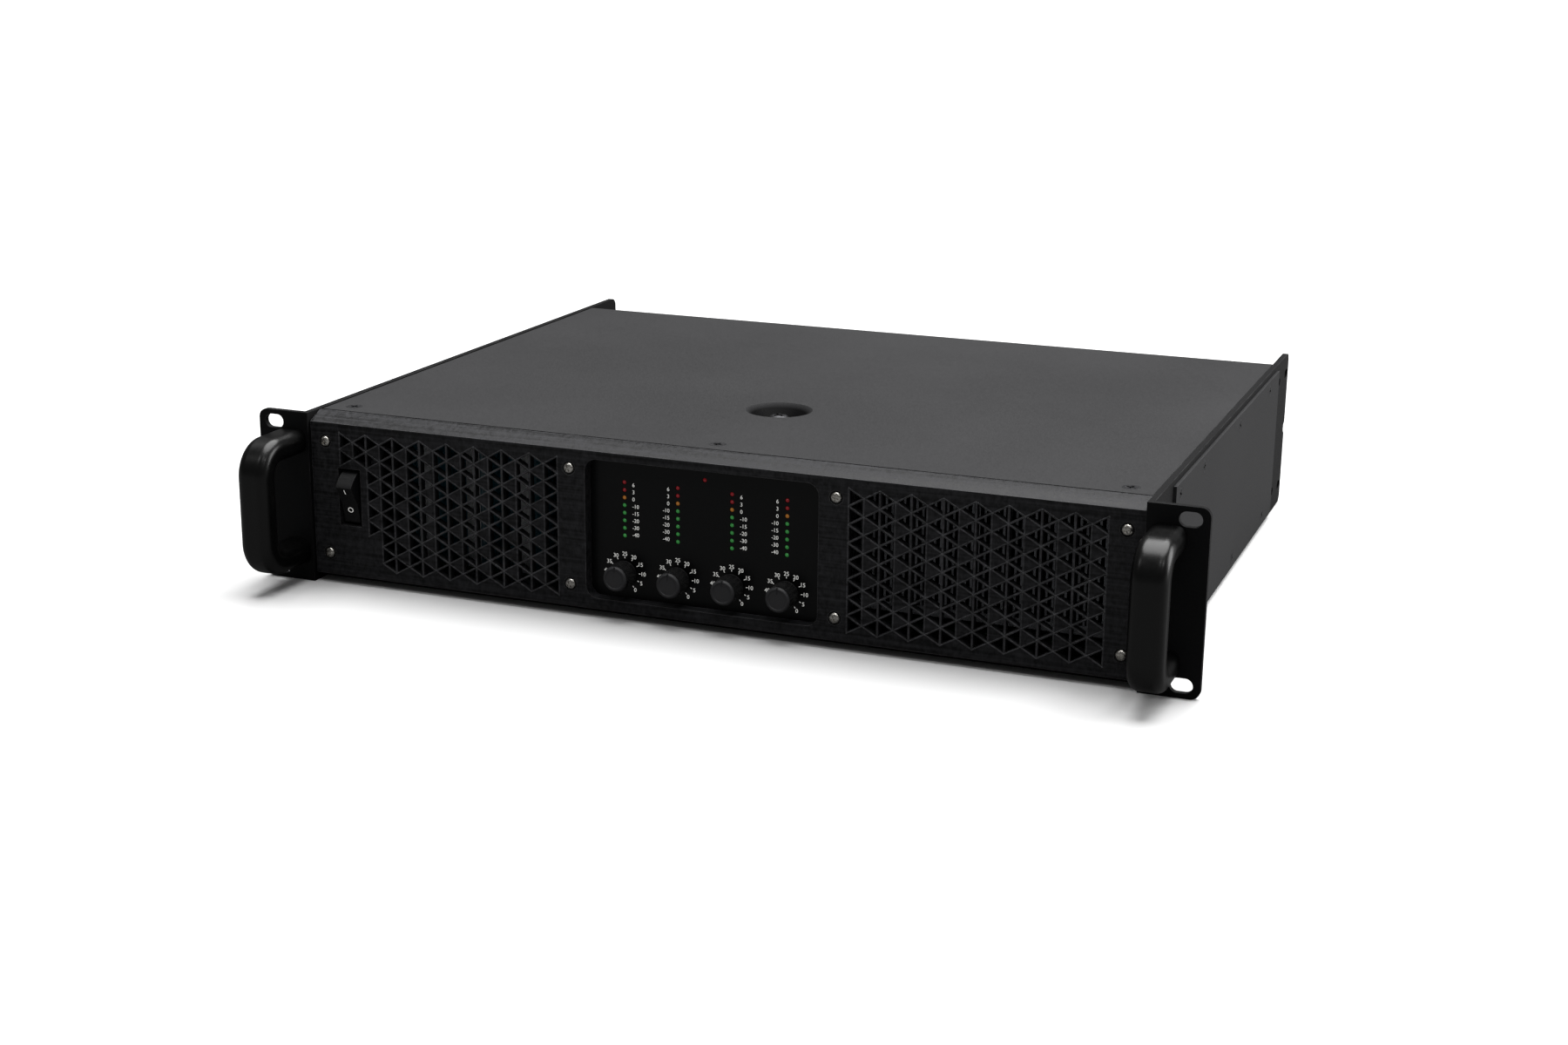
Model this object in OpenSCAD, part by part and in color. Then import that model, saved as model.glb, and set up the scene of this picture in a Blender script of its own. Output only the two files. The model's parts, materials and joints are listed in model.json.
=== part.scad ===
// Rack-mount power amplifier, two rack units high, four channels.
// Millimetres. +X right as seen from the front, +Y to the rear, +Z up.
// The origin is under the middle of the whole object, on the surface it stands on.

/* [Case] */
// Overall width across the front ears
rack_w = 482.6; // [460:0.1:620]
// Height of the case
case_h = 88; // [80:0.5:140]
// Front face of the ears to the end of the rear ears
mount_d = 358; // [290:1:460]
// Length of the rear ears behind the rear panel
rear_ear_l = 35; // [20:1:50]
// Reach of each front ear outside the side plate
ear_w = 25.3; // [23:0.1:32]
// Thickness of the side plates and ears
plate_t = 3; // [2:0.1:4]
// Thickness of the folded sheet parts
sheet_t = 1.5; // [1:0.1:2]
// Thickness of the outer side skins
skin_t = 1.5; // [1:0.1:2.5]

/* [Rack slots] */
// Distance of a slot's centre from the end of the ear
slot_edge = 8.75; // [7:0.05:11]
// Length of a rack slot
slot_l = 10.5; // [8:0.1:12]
// Width of a rack slot
slot_w = 7; // [5:0.1:8]
// Vertical distance between the two slots of one ear
slot_pitch = 76.2; // [60:0.1:130]

/* [Front] */
// Set-back of the bezel face behind the ear face
face_set = 2; // [0.5:0.1:5]
// Thickness of the bezel's face
face_t = 4; // [3:0.1:5]
// Height of the sloping band at the top and bottom of the bezel
bevel_h = 4.5; // [3:0.1:7]
// Depth of the sloping band
bevel_d = 9; // [8:0.1:14]
// Width of the window around the controls
window_w = 120; // [110:1:146]
// Depth of the window, from bezel face to control panel
window_d = 6.3; // [5:0.1:9]
// Thickness of the control panel
panel_t = 1.2; // [0.8:0.1:2]
// Side of the triangles in the grilles
tri_s = 8.8; // [6:0.1:12]
// Width of the ribs between the triangles
rib_w = 1; // [0.8:0.1:2]

/* [Controls] */
// Distance between neighbouring knobs
knob_pitch = 28; // [24:0.5:30]
// Diameter of a knob
knob_d = 12.8; // [12:0.1:18]
// How far a knob stands out of the bezel face
knob_out = 6; // [3:0.1:12]
// Diameter of a control shaft
shaft_d = 6; // [4:0.1:6.4]
// Diameter of a level lamp
led_d = 2; // [1.6:0.1:3]

/* [Handles] */
// How far the handles stand out of the ears
handle_reach = 38; // [30:0.5:60]
// Width of the handle bar
bar_w = 17; // [12:0.1:18]
// Thickness of the handle bar
bar_t = 12.5; // [10:0.1:15]
// Radius of the handle's bends on the bar's centre line
bar_bend = 12; // [9:0.5:18]

/* [Rear] */
// Depth of a cooling fan
fan_d = 25; // [20:1:32]
// Clearance above and below a cooling fan
fan_gap = 2.25; // [1:0.05:5]
// Width of a panel socket's flange
flange_w = 26; // [24:0.5:28]
// Height of a panel socket's flange
flange_h = 31; // [28:0.5:33]

/* [Hidden] */
$fn = 48;

eps = 0.02;          // overrun of a cut past a face
gap = 0.4;           // clearance between parts that are slid together
run_gap = 0.05;      // radial running clearance of a shaft in its bearing

// Planes along Y, from the front to the rear
overall_d = handle_reach + mount_d;
ear_y = handle_reach - overall_d / 2;
face_y = ear_y + face_set;
panel_y = face_y + window_d;
sub_y = panel_y + panel_t;
sub_back = sub_y + sheet_t;
board_gap = 8;                       // from the inner front wall to the display board
display_y = sub_back + board_gap;
lip_d = 1.4;                         // flat edge behind the bezel's sloping band
bezel_back = face_y + bevel_d + lip_d;
cover_gap = 1.6;                     // between the bezel and the cover and tray behind it
cover_y = bezel_back + cover_gap;
rear_y = ear_y + mount_d - rear_ear_l;
rear_in = rear_y - sheet_t;
skin_y = ear_y + 42;
skin_end = rear_y - 5;

// Planes along X
body_x = rack_w / 2 - ear_w;
in_x = body_x - plate_t;
bezel_x = in_x - gap;
slot_x = rack_w / 2 - slot_edge;
handle_x = body_x + 7;

// Planes along Z
mid_z = case_h / 2;
cover_z = case_h - 0.5;
cover_under = cover_z - sheet_t;
bezel_foot = 0.4;
bezel_wall = 2.2;
sub_low = bezel_foot + 3.4;
skin_low = 3;

// Window and controls
channels = 4;                        // each with a knob and a column of lamps
window_low = 9.95;
window_h = case_h - 2 * window_low + 1.4;
window_mid = window_low + window_h / 2;
window_r = 6;
panel_rim = 3.4;                     // how far the control panel reaches behind the window's edge
knob_z = window_low + 12.65;
led_rows = 8;
led_top = window_low + window_h - 11.45;
led_low = knob_z + knob_d / 2 + 12.4;
led_pitch = (led_top - led_low) / (led_rows - 1);
power_led_z = window_low + window_h - 6.05;
led_out = 0.35;                      // how far a lamp's tip stands out of the panel
led_gap = 0.1;
bush_r = shaft_d / 2 + 0.55;         // outer radius of a control's threaded bush
bush_out = 2.1;                      // how far the bush stands out of the panel
nut_r = bush_r + 1.1;
nut_t = 1.7;

// Bezel screws
bezel_screw_x = [-in_x + 8.4, -window_w / 2 - 8.5, window_w / 2 + 8.5, in_x - 8.4];
bezel_screw_z = [window_mid - 29.15 - (case_h - 88) / 2, window_mid + 29.15 + (case_h - 88) / 2];
boss_r = 3.9;

// Grilles: columns of nodes tri_w apart, each second column half a triangle higher
tri_w = tri_s * sqrt(3) / 2;
grille_in = window_w / 2 + 14.5;
grille_out = in_x - 16;
periods = floor((grille_out - grille_in) / (2 * tri_w));
rows = floor((case_h - 17) / tri_s);
grille_low = mid_z - rows * tri_s / 2;

// Power switch
switch_x = -in_x + 21.65;
switch_z = window_mid + 1.15;
switch_w = 12.7;
switch_h = 29.7;
rocker_w = 9;
rocker_tilt = 22;                    // rest angle of the rocker on the "off" side
rocker_y = face_y + 6.6;             // the rocker's pivot
rocker_axle_r = 1.2;
rocker_axle_l = 12;
housing_w = 14.6;
housing_h = 33;
housing_back = sub_back + 22;

// Handles
handle_h = case_h - 18;
leg_dz = (handle_h - bar_t) / 2;
handle_screw_r = 2.5;

// Side screws, measured along Y
side_screw_y = [skin_y + 10, skin_y + 65, skin_y + (skin_end - skin_y) / 2 + 20, skin_end - 29];
side_screw_z = [8.7, case_h - 8.7];
screw_r = 1.5;

// Top cover
dimple_y = ear_y + 104;
dimple_r = 17.2;
dimple_floor_r = 9;
dimple_d = 5.5;
cover_screw_x = [-in_x + 12.5, 0, in_x - 12.5];
cover_screw_y = ear_y + 24;

// Rear panel
socket_dx = 31;
socket_dz = 17.5;
socket_x = [for (i = [0:channels - 1]) (i - (channels - 1) / 2) * socket_dx];
speaker_x = [in_x - 48, in_x - 20];
fan_edge = socket_x[channels - 1] + flange_w / 2 + 8.5;  // side of a fan next to the input sockets
fan_room = speaker_x[0] - flange_w / 2 - 2 - fan_edge;   // as far as the speaker sockets
fan_w = min(cover_under - sheet_t - 2 * fan_gap, fan_room);
fan_x = fan_edge + fan_w / 2;
fan_r = fan_w / 2 - 1.8;
fan_hole = fan_w / 2 - 4.25;
fan_y = rear_in - fan_d;
inlet_x = -in_x + 34;
inlet_z = mid_z - 14;
fuse_z = mid_z + 20;
socket_r = 12;
socket_l = rear_in - fan_y - 6;      // length of a socket inside the panel
flange_t = 1.8;
tab_x = [-in_x + 34, -socket_dx, socket_dx, in_x - 34];
tab_w = 14;
tab_z = 7;

// Boards inside the case
board_t = 1.6;
board_z = sheet_t + 4;
inside_y = display_y + 14;
lip_l = 20;                          // folded lips of the inner front wall
board_front = sub_back + lip_l + 2;
board_rear = fan_y - 22;
board_edge = in_x - 9;
board_mid = 34;
sink_z = board_z + board_t + 8.4;
sink_base = 4.5;
sink_top = case_h - 9;
sink_front = inside_y - 10;
sink_l = (board_rear - sink_front) * 0.6;
fin_pitch = 3;
fin_t = 1.1;

// ---------- Helpers ----------

// A flat shape drawn in X and Z, with thickness t to the rear of y
module wall(y, t) {
    translate([0, y + t, 0])
        rotate([90, 0, 0])
            linear_extrude(t)
                children();
}

// A profile drawn in Y and Z, run along X with length l about the middle
module run_x(l) {
    rotate([90, 0, 90])
        linear_extrude(l, center = true)
            children();
}

// Children's +Z points to the front
module to_front(x, y, z) {
    translate([x, y, z])
        rotate([90, 0, 0])
            children();
}

// Children's +Z points to the rear
module to_rear(x, y, z) {
    translate([x, y, z])
        rotate([-90, 0, 0])
            children();
}

// Children's +Z points outwards on side s (-1 left, 1 right)
module to_side(s, x, y, z) {
    translate([s * x, y, z])
        rotate([0, s * 90, 0])
            children();
}

// A box from its low corner to its high corner
module span(a, b) {
    translate(a)
        cube(b - a);
}

// A rectangle about its centre with round corners
module round_rect(w, h, r) {
    square([w - 2 * r, h], center = true);
    square([w, h - 2 * r], center = true);
    for (x = [-1, 1], z = [-1, 1])
        translate([x * (w / 2 - r), z * (h / 2 - r)])
            circle(r);
}

// A slot with round ends along its first direction
module obround(l, w) {
    square([l - w, w], center = true);
    for (s = [-1, 1])
        translate([s * (l - w) / 2, 0])
            circle(w / 2);
}

// Screw with a round pan head and a cross recess. The head's seat is at z = 0, the shank goes down.
module pan_screw(head_r, head_h, shank_r, shank_l) {
    crown = head_h * 0.45;
    difference() {
        union() {
            cylinder(h = head_h - crown, r = head_r);
            translate([0, 0, head_h - crown])
                cylinder(h = crown, r1 = head_r, r2 = head_r * 0.62);
            translate([0, 0, -shank_l])
                cylinder(h = shank_l + eps, r = shank_r);
        }
        for (a = [45, 135])
            translate([0, 0, head_h])
                rotate([0, 0, a])
                    cube([head_r * 1.05, head_r * 0.26, head_h * 1.1], center = true);
    }
}

// Countersunk screw with a cross recess. The flat of its head is at z = 0, the shank goes down.
module flat_screw(head_r, head_h, shank_r, shank_l) {
    difference() {
        union() {
            translate([0, 0, -head_h])
                cylinder(h = head_h, r1 = shank_r, r2 = head_r);
            translate([0, 0, -shank_l])
                cylinder(h = shank_l - head_h / 2, r = shank_r);
        }
        for (a = [45, 135])
            rotate([0, 0, a])
                cube([head_r * 1.15, head_r * 0.28, head_h * 1.1], center = true);
    }
}

// Cut for a countersunk screw whose head lies flush at z = 0
module flat_screw_cut(head_r, head_h, hole_r, depth) {
    translate([0, 0, -head_h])
        cylinder(h = head_h + eps, r1 = hole_r, r2 = head_r + 0.1);
    translate([0, 0, -depth])
        cylinder(h = depth, r = hole_r);
}

// ---------- Case ----------

flat_head_r = 3.5;
flat_head_h = 1.5;
cover_head_r = 4.2;

module side_screw_holes(s, r) {
    for (y = side_screw_y, z = side_screw_z)
        to_side(s, in_x - 10, y, z)
            cylinder(h = 20, r = r);
}

module case_tabs(z_low, z_high) {
    for (x = tab_x)
        span([x - tab_w / 2, rear_in - sheet_t, z_low], [x + tab_w / 2, rear_in, z_high]);
}

module tab_holes(r) {
    for (x = tab_x, z = [tab_z, case_h - tab_z])
        to_rear(x, rear_in - 6, z)
            cylinder(h = 12, r = r);
}

module bottom_tray() {
    flange_x = in_x - 0.2;
    color("#2a2a2b")
        difference() {
            union() {
                span([-flange_x, cover_y, 0], [flange_x, rear_in, sheet_t]);
                for (s = [-1, 1])
                    span(
                        [s > 0 ? flange_x - sheet_t : -flange_x, skin_y + 20, 0],
                        [s > 0 ? flange_x : sheet_t - flange_x, skin_end - 8, 18]
                    );
                case_tabs(0, tab_z + 5);
            }
            for (s = [-1, 1])
                side_screw_holes(s, screw_r + 0.1);
            tab_holes(screw_r + 0.1);
            for (x = cover_screw_x)
                translate([x, cover_screw_y, 0])
                    mirror([0, 0, 1])
                        flat_screw_cut(cover_head_r, flat_head_h, screw_r + 0.1, 4);
        }
}

module top_cover() {
    flange_x = in_x - 0.5;
    dish = [
        [0, -eps], [dimple_floor_r, -eps], [dimple_r, dimple_d], [dimple_r, dimple_d + 1],
        [0, dimple_d + 1]
    ];
    color("#3a3a3c")
        difference() {
            union() {
                span([-flange_x, cover_y, cover_under], [flange_x, rear_y - 0.3, cover_z]);
                for (s = [-1, 1])
                    span(
                        [s > 0 ? flange_x - sheet_t : -flange_x, skin_y + 20, case_h - 18],
                        [s > 0 ? flange_x : sheet_t - flange_x, skin_end - 8, cover_z - eps]
                    );
                case_tabs(case_h - tab_z - 5, cover_under + eps);
                translate([0, dimple_y, cover_under - dimple_d])
                    cylinder(h = dimple_d + eps, r1 = dimple_floor_r + sheet_t, r2 = dimple_r + sheet_t);
            }
            translate([0, dimple_y, cover_z - dimple_d])
                rotate_extrude()
                    polygon(dish);
            translate([0, dimple_y, 0])
                cylinder(h = case_h, r = centre_screw_r + 0.3);
            for (s = [-1, 1])
                side_screw_holes(s, screw_r + 0.1);
            tab_holes(screw_r + 0.1);
            for (x = cover_screw_x)
                translate([x, cover_screw_y, cover_z])
                    flat_screw_cut(cover_head_r, flat_head_h, screw_r + 0.1, 4);
        }
}

// Right-hand side plate with its front ear, seen from the side as Y and Z
module side_plate_right() {
    corner = 4.5;
    hole_y = rear_y + 6;
    slot_y = rear_y + rear_ear_l - 7;
    notch_r = 3.2;
    color("#161617")
        difference() {
            union() {
                translate([in_x, 0, 0])
                    rotate([90, 0, 90])
                        linear_extrude(plate_t)
                            union() {
                                translate([ear_y, 0])
                                    square([mount_d - corner, case_h]);
                                translate([ear_y + mount_d - 2 * corner, corner])
                                    square([2 * corner, case_h - 2 * corner]);
                                for (z = [corner, case_h - corner])
                                    translate([ear_y + mount_d - corner, z])
                                        circle(corner);
                            }
                wall(ear_y, plate_t)
                    union() {
                        translate([in_x, 0])
                            square([rack_w / 2 - in_x - corner, case_h]);
                        translate([rack_w / 2 - 2 * corner, corner])
                            square([2 * corner, case_h - 2 * corner]);
                        for (z = [corner, case_h - corner])
                            translate([rack_w / 2 - corner, z])
                                circle(corner);
                    }
            }
            for (s = [-1, 1]) {
                wall(ear_y - 1, plate_t + 2)
                    translate([slot_x, mid_z + s * slot_pitch / 2])
                        obround(slot_l, slot_w);
                to_rear(handle_x, ear_y - 1, mid_z + s * leg_dz)
                    cylinder(h = plate_t + 2, r = handle_screw_r + 0.1);
                to_side(1, in_x - 1, hole_y, mid_z + s * 32)
                    cylinder(h = plate_t + 2, r = 2.6);
                translate([in_x - 1, slot_y, mid_z + s * 33])
                    rotate([90, 0, 90])
                        linear_extrude(plate_t + 2)
                            obround(9, 5);
            }
            to_side(1, in_x - 1, ear_y + mount_d, mid_z)
                cylinder(h = plate_t + 2, r = notch_r);
            side_screw_holes(1, screw_r + 0.1);
        }
}

module side_plate_left() {
    mirror([1, 0, 0])
        side_plate_right();
}

module side_skin_right() {
    color("#48484a")
        difference() {
            span([body_x, skin_y, skin_low], [body_x + skin_t, skin_end, case_h - skin_low]);
            for (y = side_screw_y, z = side_screw_z)
                to_side(1, body_x + skin_t, y, z)
                    flat_screw_cut(flat_head_r, flat_head_h, screw_r + 0.1, skin_t + 1);
        }
}

module side_skin_left() {
    mirror([1, 0, 0])
        side_skin_right();
}

// Flat outline of the rear panel, with every cut-out in it
module rear_outline() {
    difference() {
        translate([0, (cover_under + sheet_t) / 2])
            square([2 * (in_x - gap), cover_under - sheet_t - gap], center = true);
        for (s = [-1, 1])
            translate([s * fan_x, mid_z]) {
                circle(fan_r);
                for (a = [-1, 1], b = [-1, 1])
                    translate([a * fan_hole, b * fan_hole])
                        circle(2.15);
            }
        for (x = socket_x, z = [-1, 1])
            translate([x, mid_z + z * socket_dz]) {
                circle(socket_r + 0.2);
                socket_screw_spots()
                    circle(screw_r + 0.1);
            }
        for (x = speaker_x, z = [-1, 1])
            translate([x, mid_z + z * socket_dz]) {
                circle(speaker_r + 0.2);
                socket_screw_spots()
                    circle(screw_r + 0.1);
            }
        translate([inlet_x, inlet_z]) {
            square([inlet_w + 0.6, inlet_h + 0.6], center = true);
            for (s = [-1, 1])
                translate([s * inlet_screw_x, 0])
                    circle(screw_r + 0.1);
        }
        translate([inlet_x, fuse_z])
            circle(fuse_r + 0.2);
        for (x = tab_x, z = [tab_z, case_h - tab_z])
            translate([x, z])
                circle(screw_r + 0.1);
    }
}

module rear_panel() {
    color("#1c1c1d")
        wall(rear_in, sheet_t)
            rear_outline();
}

// ---------- Front ----------

// Places of the small round holes that the panel and the inner wall share
module control_holes(led_r, pot_r) {
    for (i = [0:channels - 1]) {
        translate([knob_at(i), knob_z])
            circle(pot_r);
        for (k = [0:led_rows - 1])
            translate([knob_at(i), led_top - k * led_pitch])
                circle(led_r);
    }
    translate([0, power_led_z])
        circle(led_r);
}

function knob_at(i) = (i - (channels - 1) / 2) * knob_pitch;

module front_subpanel() {
    half = in_x - 0.4;
    flange_l = skin_y + 17 - sub_back;
    border = 5;
    color("#8d9092")
        difference() {
            union() {
                wall(sub_y, sheet_t)
                    difference() {
                        translate([-half, sub_low])
                            square([2 * half, case_h - 2 * sub_low]);
                        translate([0, grille_low]) {
                            translate([grille_in, 0])
                                square([periods * 2 * tri_w, rows * tri_s]);
                            translate([switch_x + housing_w / 2 + border, 0])
                                square([-grille_in - switch_x - housing_w / 2 - border, rows * tri_s]);
                        }
                        translate([-grille_in - periods * 2 * tri_w, switch_z + housing_h / 2 + 3])
                            square([
                                housing_w + 2 * border,
                                grille_low + rows * tri_s - switch_z - housing_h / 2 - 3
                            ]);
                        translate([switch_x, switch_z])
                            square([housing_w + 0.4, housing_h + 0.4], center = true);
                        control_holes(led_d / 2 + led_gap, bush_r + 0.15);
                        for (x = bezel_screw_x, z = bezel_screw_z)
                            translate([x, z])
                                circle(screw_r + 0.1);
                    }
                for (z = [sub_low, case_h - sub_low - sheet_t])
                    span([-half, sub_y, z], [half, sub_back + lip_l, z + sheet_t]);
                for (s = [-1, 1])
                    span(
                        [s > 0 ? half - sheet_t : -half, sub_y, sub_low],
                        [s > 0 ? half : sheet_t - half, sub_back + flange_l, case_h - sub_low]
                    );
                for (x = cover_screw_x) {
                    translate([x, cover_screw_y, sheet_t])
                        cylinder(h = sub_low, r = 3.5);
                    translate([x, cover_screw_y, cover_under - sub_low])
                        cylinder(h = sub_low, r = 3.5);
                }
            }
            for (x = cover_screw_x)
                translate([x, cover_screw_y, -1])
                    cylinder(h = case_h + 2, r = screw_r + 0.1);
            for (s = [-1, 1])
                side_screw_holes(s, screw_r + 0.1);
        }
}

// One open triangle of a grille, drawn with its ribs taken off
module open_triangle(p) {
    c = (p[0] + p[1] + p[2]) / 3;
    in_r = tri_s / (2 * sqrt(3));
    k = (in_r - rib_w / 2) / in_r;
    polygon([for (q = p) c + k * (q - c)]);
}

// True where the left grille stays closed, beside and under the power switch
function closed_left(strip, z) =
    strip >= 2 * periods - 2 ? z < switch_z + switch_h / 2 : strip == 2 * periods - 3 && z < switch_z - 18;

// Openings of one grille. In every second strip the triangles that point outwards stay closed.
module grille_cut(s) {
    for (strip = [0:2 * periods - 1]) {
        even = strip % 2 == 0;
        a_x = grille_in + (even ? strip : strip + 1) * tri_w;
        b_x = grille_in + (even ? strip + 1 : strip) * tri_w;
        for (j = [0:rows - 1]) {
            z = grille_low + j * tri_s;
            if (s > 0 || !closed_left(strip, z + tri_s / 4))
                open_triangle([[s * a_x, z], [s * a_x, z + tri_s], [s * b_x, z + tri_s / 2]]);
            if (even && j < rows - 1 && (s > 0 || !closed_left(strip, z + tri_s / 4)))
                open_triangle([
                    [s * b_x, z + tri_s / 2], [s * b_x, z + tri_s * 1.5], [s * a_x, z + tri_s]
                ]);
        }
    }
}

module window_shape(grow) {
    translate([0, window_mid])
        round_rect(window_w + 2 * grow, window_h + 2 * grow, window_r + grow);
}

// Section of the bezel: a flat face between two sloping bands, open at the back
module bezel_section() {
    slope = (bevel_h - bezel_foot) / bevel_d;
    in_face = bevel_h - slope * face_t + bezel_wall;
    low = [
        [bevel_d + lip_d, bezel_foot + bezel_wall], [bevel_d + lip_d, bezel_foot], [bevel_d, bezel_foot],
        [0, bevel_h]
    ];
    high = [
        [0, case_h - bevel_h], [bevel_d, case_h - bezel_foot], [bevel_d + lip_d, case_h - bezel_foot],
        [bevel_d + lip_d, case_h - bezel_foot - bezel_wall], [bevel_d, case_h - bezel_foot - bezel_wall],
        [face_t, case_h - in_face]
    ];
    polygon(concat(low, high, [[face_t, in_face], [bevel_d, bezel_foot + bezel_wall]]));
}

module front_bezel() {
    collar = 3.2;
    recess_r = 3.4;
    recess_d = 0.8;
    color("#131314")
        difference() {
            union() {
                translate([0, face_y, 0])
                    run_x(2 * bezel_x)
                        bezel_section();
                wall(face_y + face_t - eps, window_d - face_t + eps)
                    window_shape(collar);
                for (x = bezel_screw_x, z = bezel_screw_z)
                    to_rear(x, face_y + face_t - eps, z)
                        cylinder(h = sub_y - face_y - face_t + eps, r = boss_r);
            }
            wall(face_y - 1, window_d + 2)
                window_shape(0);
            wall(face_y - 1, face_t + 2)
                union() {
                    grille_cut(-1);
                    grille_cut(1);
                    translate([switch_x, switch_z])
                        square([switch_w, switch_h], center = true);
                }
            for (x = bezel_screw_x, z = bezel_screw_z)
                to_rear(x, face_y, z) {
                    translate([0, 0, -1])
                        cylinder(h = recess_d + 1, r = recess_r);
                    cylinder(h = window_d + panel_t + 1, r = screw_r + 0.2);
                }
        }
}

module control_panel() {
    color("#0b0b0c")
        wall(panel_y, panel_t)
            difference() {
                window_shape(panel_rim);
                control_holes(led_d / 2 + led_gap, bush_r + 0.15);
            }
}

// Round-cornered section of the handle bar, about its own centre: first across, then through
module bar_section() {
    round_rect(bar_w, bar_t, 5);
}

module handle_right() {
    leg_l = handle_reach - bar_t / 2 - bar_bend;
    bend_y = ear_y - leg_l;
    color("#0e0e0f")
        difference() {
            union() {
                for (s = [-1, 1]) {
                    to_front(handle_x, ear_y, mid_z + s * leg_dz)
                        linear_extrude(leg_l)
                            bar_section();
                    translate([handle_x, bend_y, mid_z + s * (leg_dz - bar_bend)])
                        rotate([0, 90, 0])
                            rotate([0, 0, s > 0 ? 180 : -90])
                                rotate_extrude(angle = 90)
                                    translate([bar_bend, 0])
                                        rotate([0, 0, 90])
                                            bar_section();
                }
                translate([handle_x, bend_y - bar_bend, mid_z - leg_dz + bar_bend])
                    linear_extrude(2 * (leg_dz - bar_bend))
                        bar_section();
            }
            for (s = [-1, 1])
                to_front(handle_x, ear_y + 1, mid_z + s * leg_dz)
                    cylinder(h = 15, r = handle_screw_r);
        }
}

module handle_left() {
    mirror([1, 0, 0])
        handle_right();
}

// ---------- Controls ----------

knob_front = face_y - knob_out;
knob_back = panel_y - 0.6;

module knob(i) {
    length = knob_back - knob_front;
    chamfer = 0.7;
    cavity_r = nut_r + 0.5;
    cavity = knob_back - panel_y + bush_out + 0.6;
    color("#101011")
        to_front(knob_at(i), knob_back, knob_z)
            difference() {
                rotate_extrude()
                    polygon([
                        [0, 0], [knob_d / 2, 0], [knob_d / 2, length - chamfer],
                        [knob_d / 2 - chamfer, length], [0, length]
                    ]);
                translate([0, 0, -eps])
                    cylinder(h = cavity + eps, r = cavity_r);
                cylinder(h = length - 3, r = shaft_d / 2);
                translate([-0.4, knob_d / 2 - 3.6, length - 0.4])
                    cube([0.8, 3.6, 1]);
            }
}

module pot_shaft(i) {
    inside = 5;
    color("#b9bcc0")
        to_front(knob_at(i), sub_back + inside, knob_z)
            cylinder(h = sub_back + inside - knob_front - 3, r = shaft_d / 2);
}

module gain_pots() {
    pot_w = 15;
    color("#3f5f49")
        for (i = [0:channels - 1])
            difference() {
                union() {
                    wall(sub_back, board_gap)
                        translate([knob_at(i), knob_z])
                            square([pot_w, pot_w], center = true);
                    to_front(knob_at(i), sub_back + eps, knob_z)
                        cylinder(h = sub_back + eps - panel_y + bush_out, r = bush_r);
                    to_front(knob_at(i), panel_y, knob_z)
                        cylinder(h = nut_t, r = nut_r, $fn = 6);
                }
                to_front(knob_at(i), sub_back + 5.6, knob_z)
                    cylinder(h = 30, r = shaft_d / 2 + run_gap);
            }
}

module display_board() {
    color("#1d5a34")
        wall(display_y, board_t)
            translate([0, window_mid])
                square([knob_pitch * channels + 4, window_h - 2], center = true);
}

// Lamp with a round tip, reaching back to the display board
module led(x, z) {
    r = led_d / 2;
    tip = panel_y - led_out + r;
    to_rear(x, tip, z)
        cylinder(h = display_y - tip, r = r);
    translate([x, tip, z])
        sphere(r);
}

module led_group(rows) {
    for (i = [0:channels - 1], k = rows)
        led(knob_at(i), led_top - k * led_pitch);
}

module red_leds() {
    color("#8c1410")
        led_group([0, 1]);
}

module amber_leds() {
    color("#b0641a")
        led_group([2]);
}

module green_leds() {
    color("#1d8b3a")
        led_group([for (k = [3:led_rows - 1]) k]);
}

module power_led() {
    color("#8c1410")
        led(0, power_led_z);
}

// Front housing of the power switch, seen about the rocker's pivot
module switch_housing() {
    flange_t = 1.5;
    flange_over = 3.5;
    front_y = face_y + face_t + 0.3;
    cavity_back = rocker_y + 9;
    blade = [0.8, 8, 6.3];
    color("#0f0f10")
        difference() {
            union() {
                span(
                    [switch_x - housing_w / 2, front_y, switch_z - housing_h / 2],
                    [switch_x + housing_w / 2, housing_back, switch_z + housing_h / 2]
                );
                span(
                    [switch_x - housing_w / 2, sub_y - flange_t, switch_z - housing_h / 2 - flange_over],
                    [switch_x + housing_w / 2, sub_y, switch_z + housing_h / 2 + flange_over]
                );
                for (s = [-1, 1], t = [-1, 1])
                    translate([
                        switch_x + s * 4 - blade[0] / 2, housing_back - eps, switch_z + t * 8 - blade[2] / 2
                    ])
                        cube(blade);
            }
            span(
                [switch_x - rocker_w / 2 - 0.35, front_y - 1, switch_z - housing_h / 2 + 1.5],
                [switch_x + rocker_w / 2 + 0.35, cavity_back, switch_z + housing_h / 2 - 1.5]
            );
            translate([switch_x - rocker_axle_l / 2 - 0.3, rocker_y, switch_z])
                rotate([0, 90, 0])
                    cylinder(h = rocker_axle_l + 0.6, r = rocker_axle_r + run_gap);
        }
}

// Rocker of the power switch. Its ends are round about the axle, so that they fill the slot at any tilt.
module switch_rocker() {
    v_in = 7.9;
    tip = [9.4, 10.5];
    heel = [2, 20];
    color("#141415")
        translate([switch_x, rocker_y, switch_z])
            rotate([rocker_tilt, 0, 0])
                union() {
                    intersection() {
                        run_x(rocker_w)
                            polygon([
                                [-v_in, 0], [-tip[0], tip[1]], [-tip[0], heel[1]], heel, [4, 0],
                                [heel[0], -heel[1]], [-tip[0], -heel[1]], [-tip[0], -tip[1]]
                            ]);
                        rotate([0, 90, 0])
                            cylinder(h = rocker_w + 2, r = norm(tip), center = true);
                    }
                    rotate([0, 90, 0])
                        cylinder(h = rocker_axle_l, r = rocker_axle_r, center = true);
                }
}

// ---------- Screws ----------

centre_screw_r = 2.4;

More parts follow.
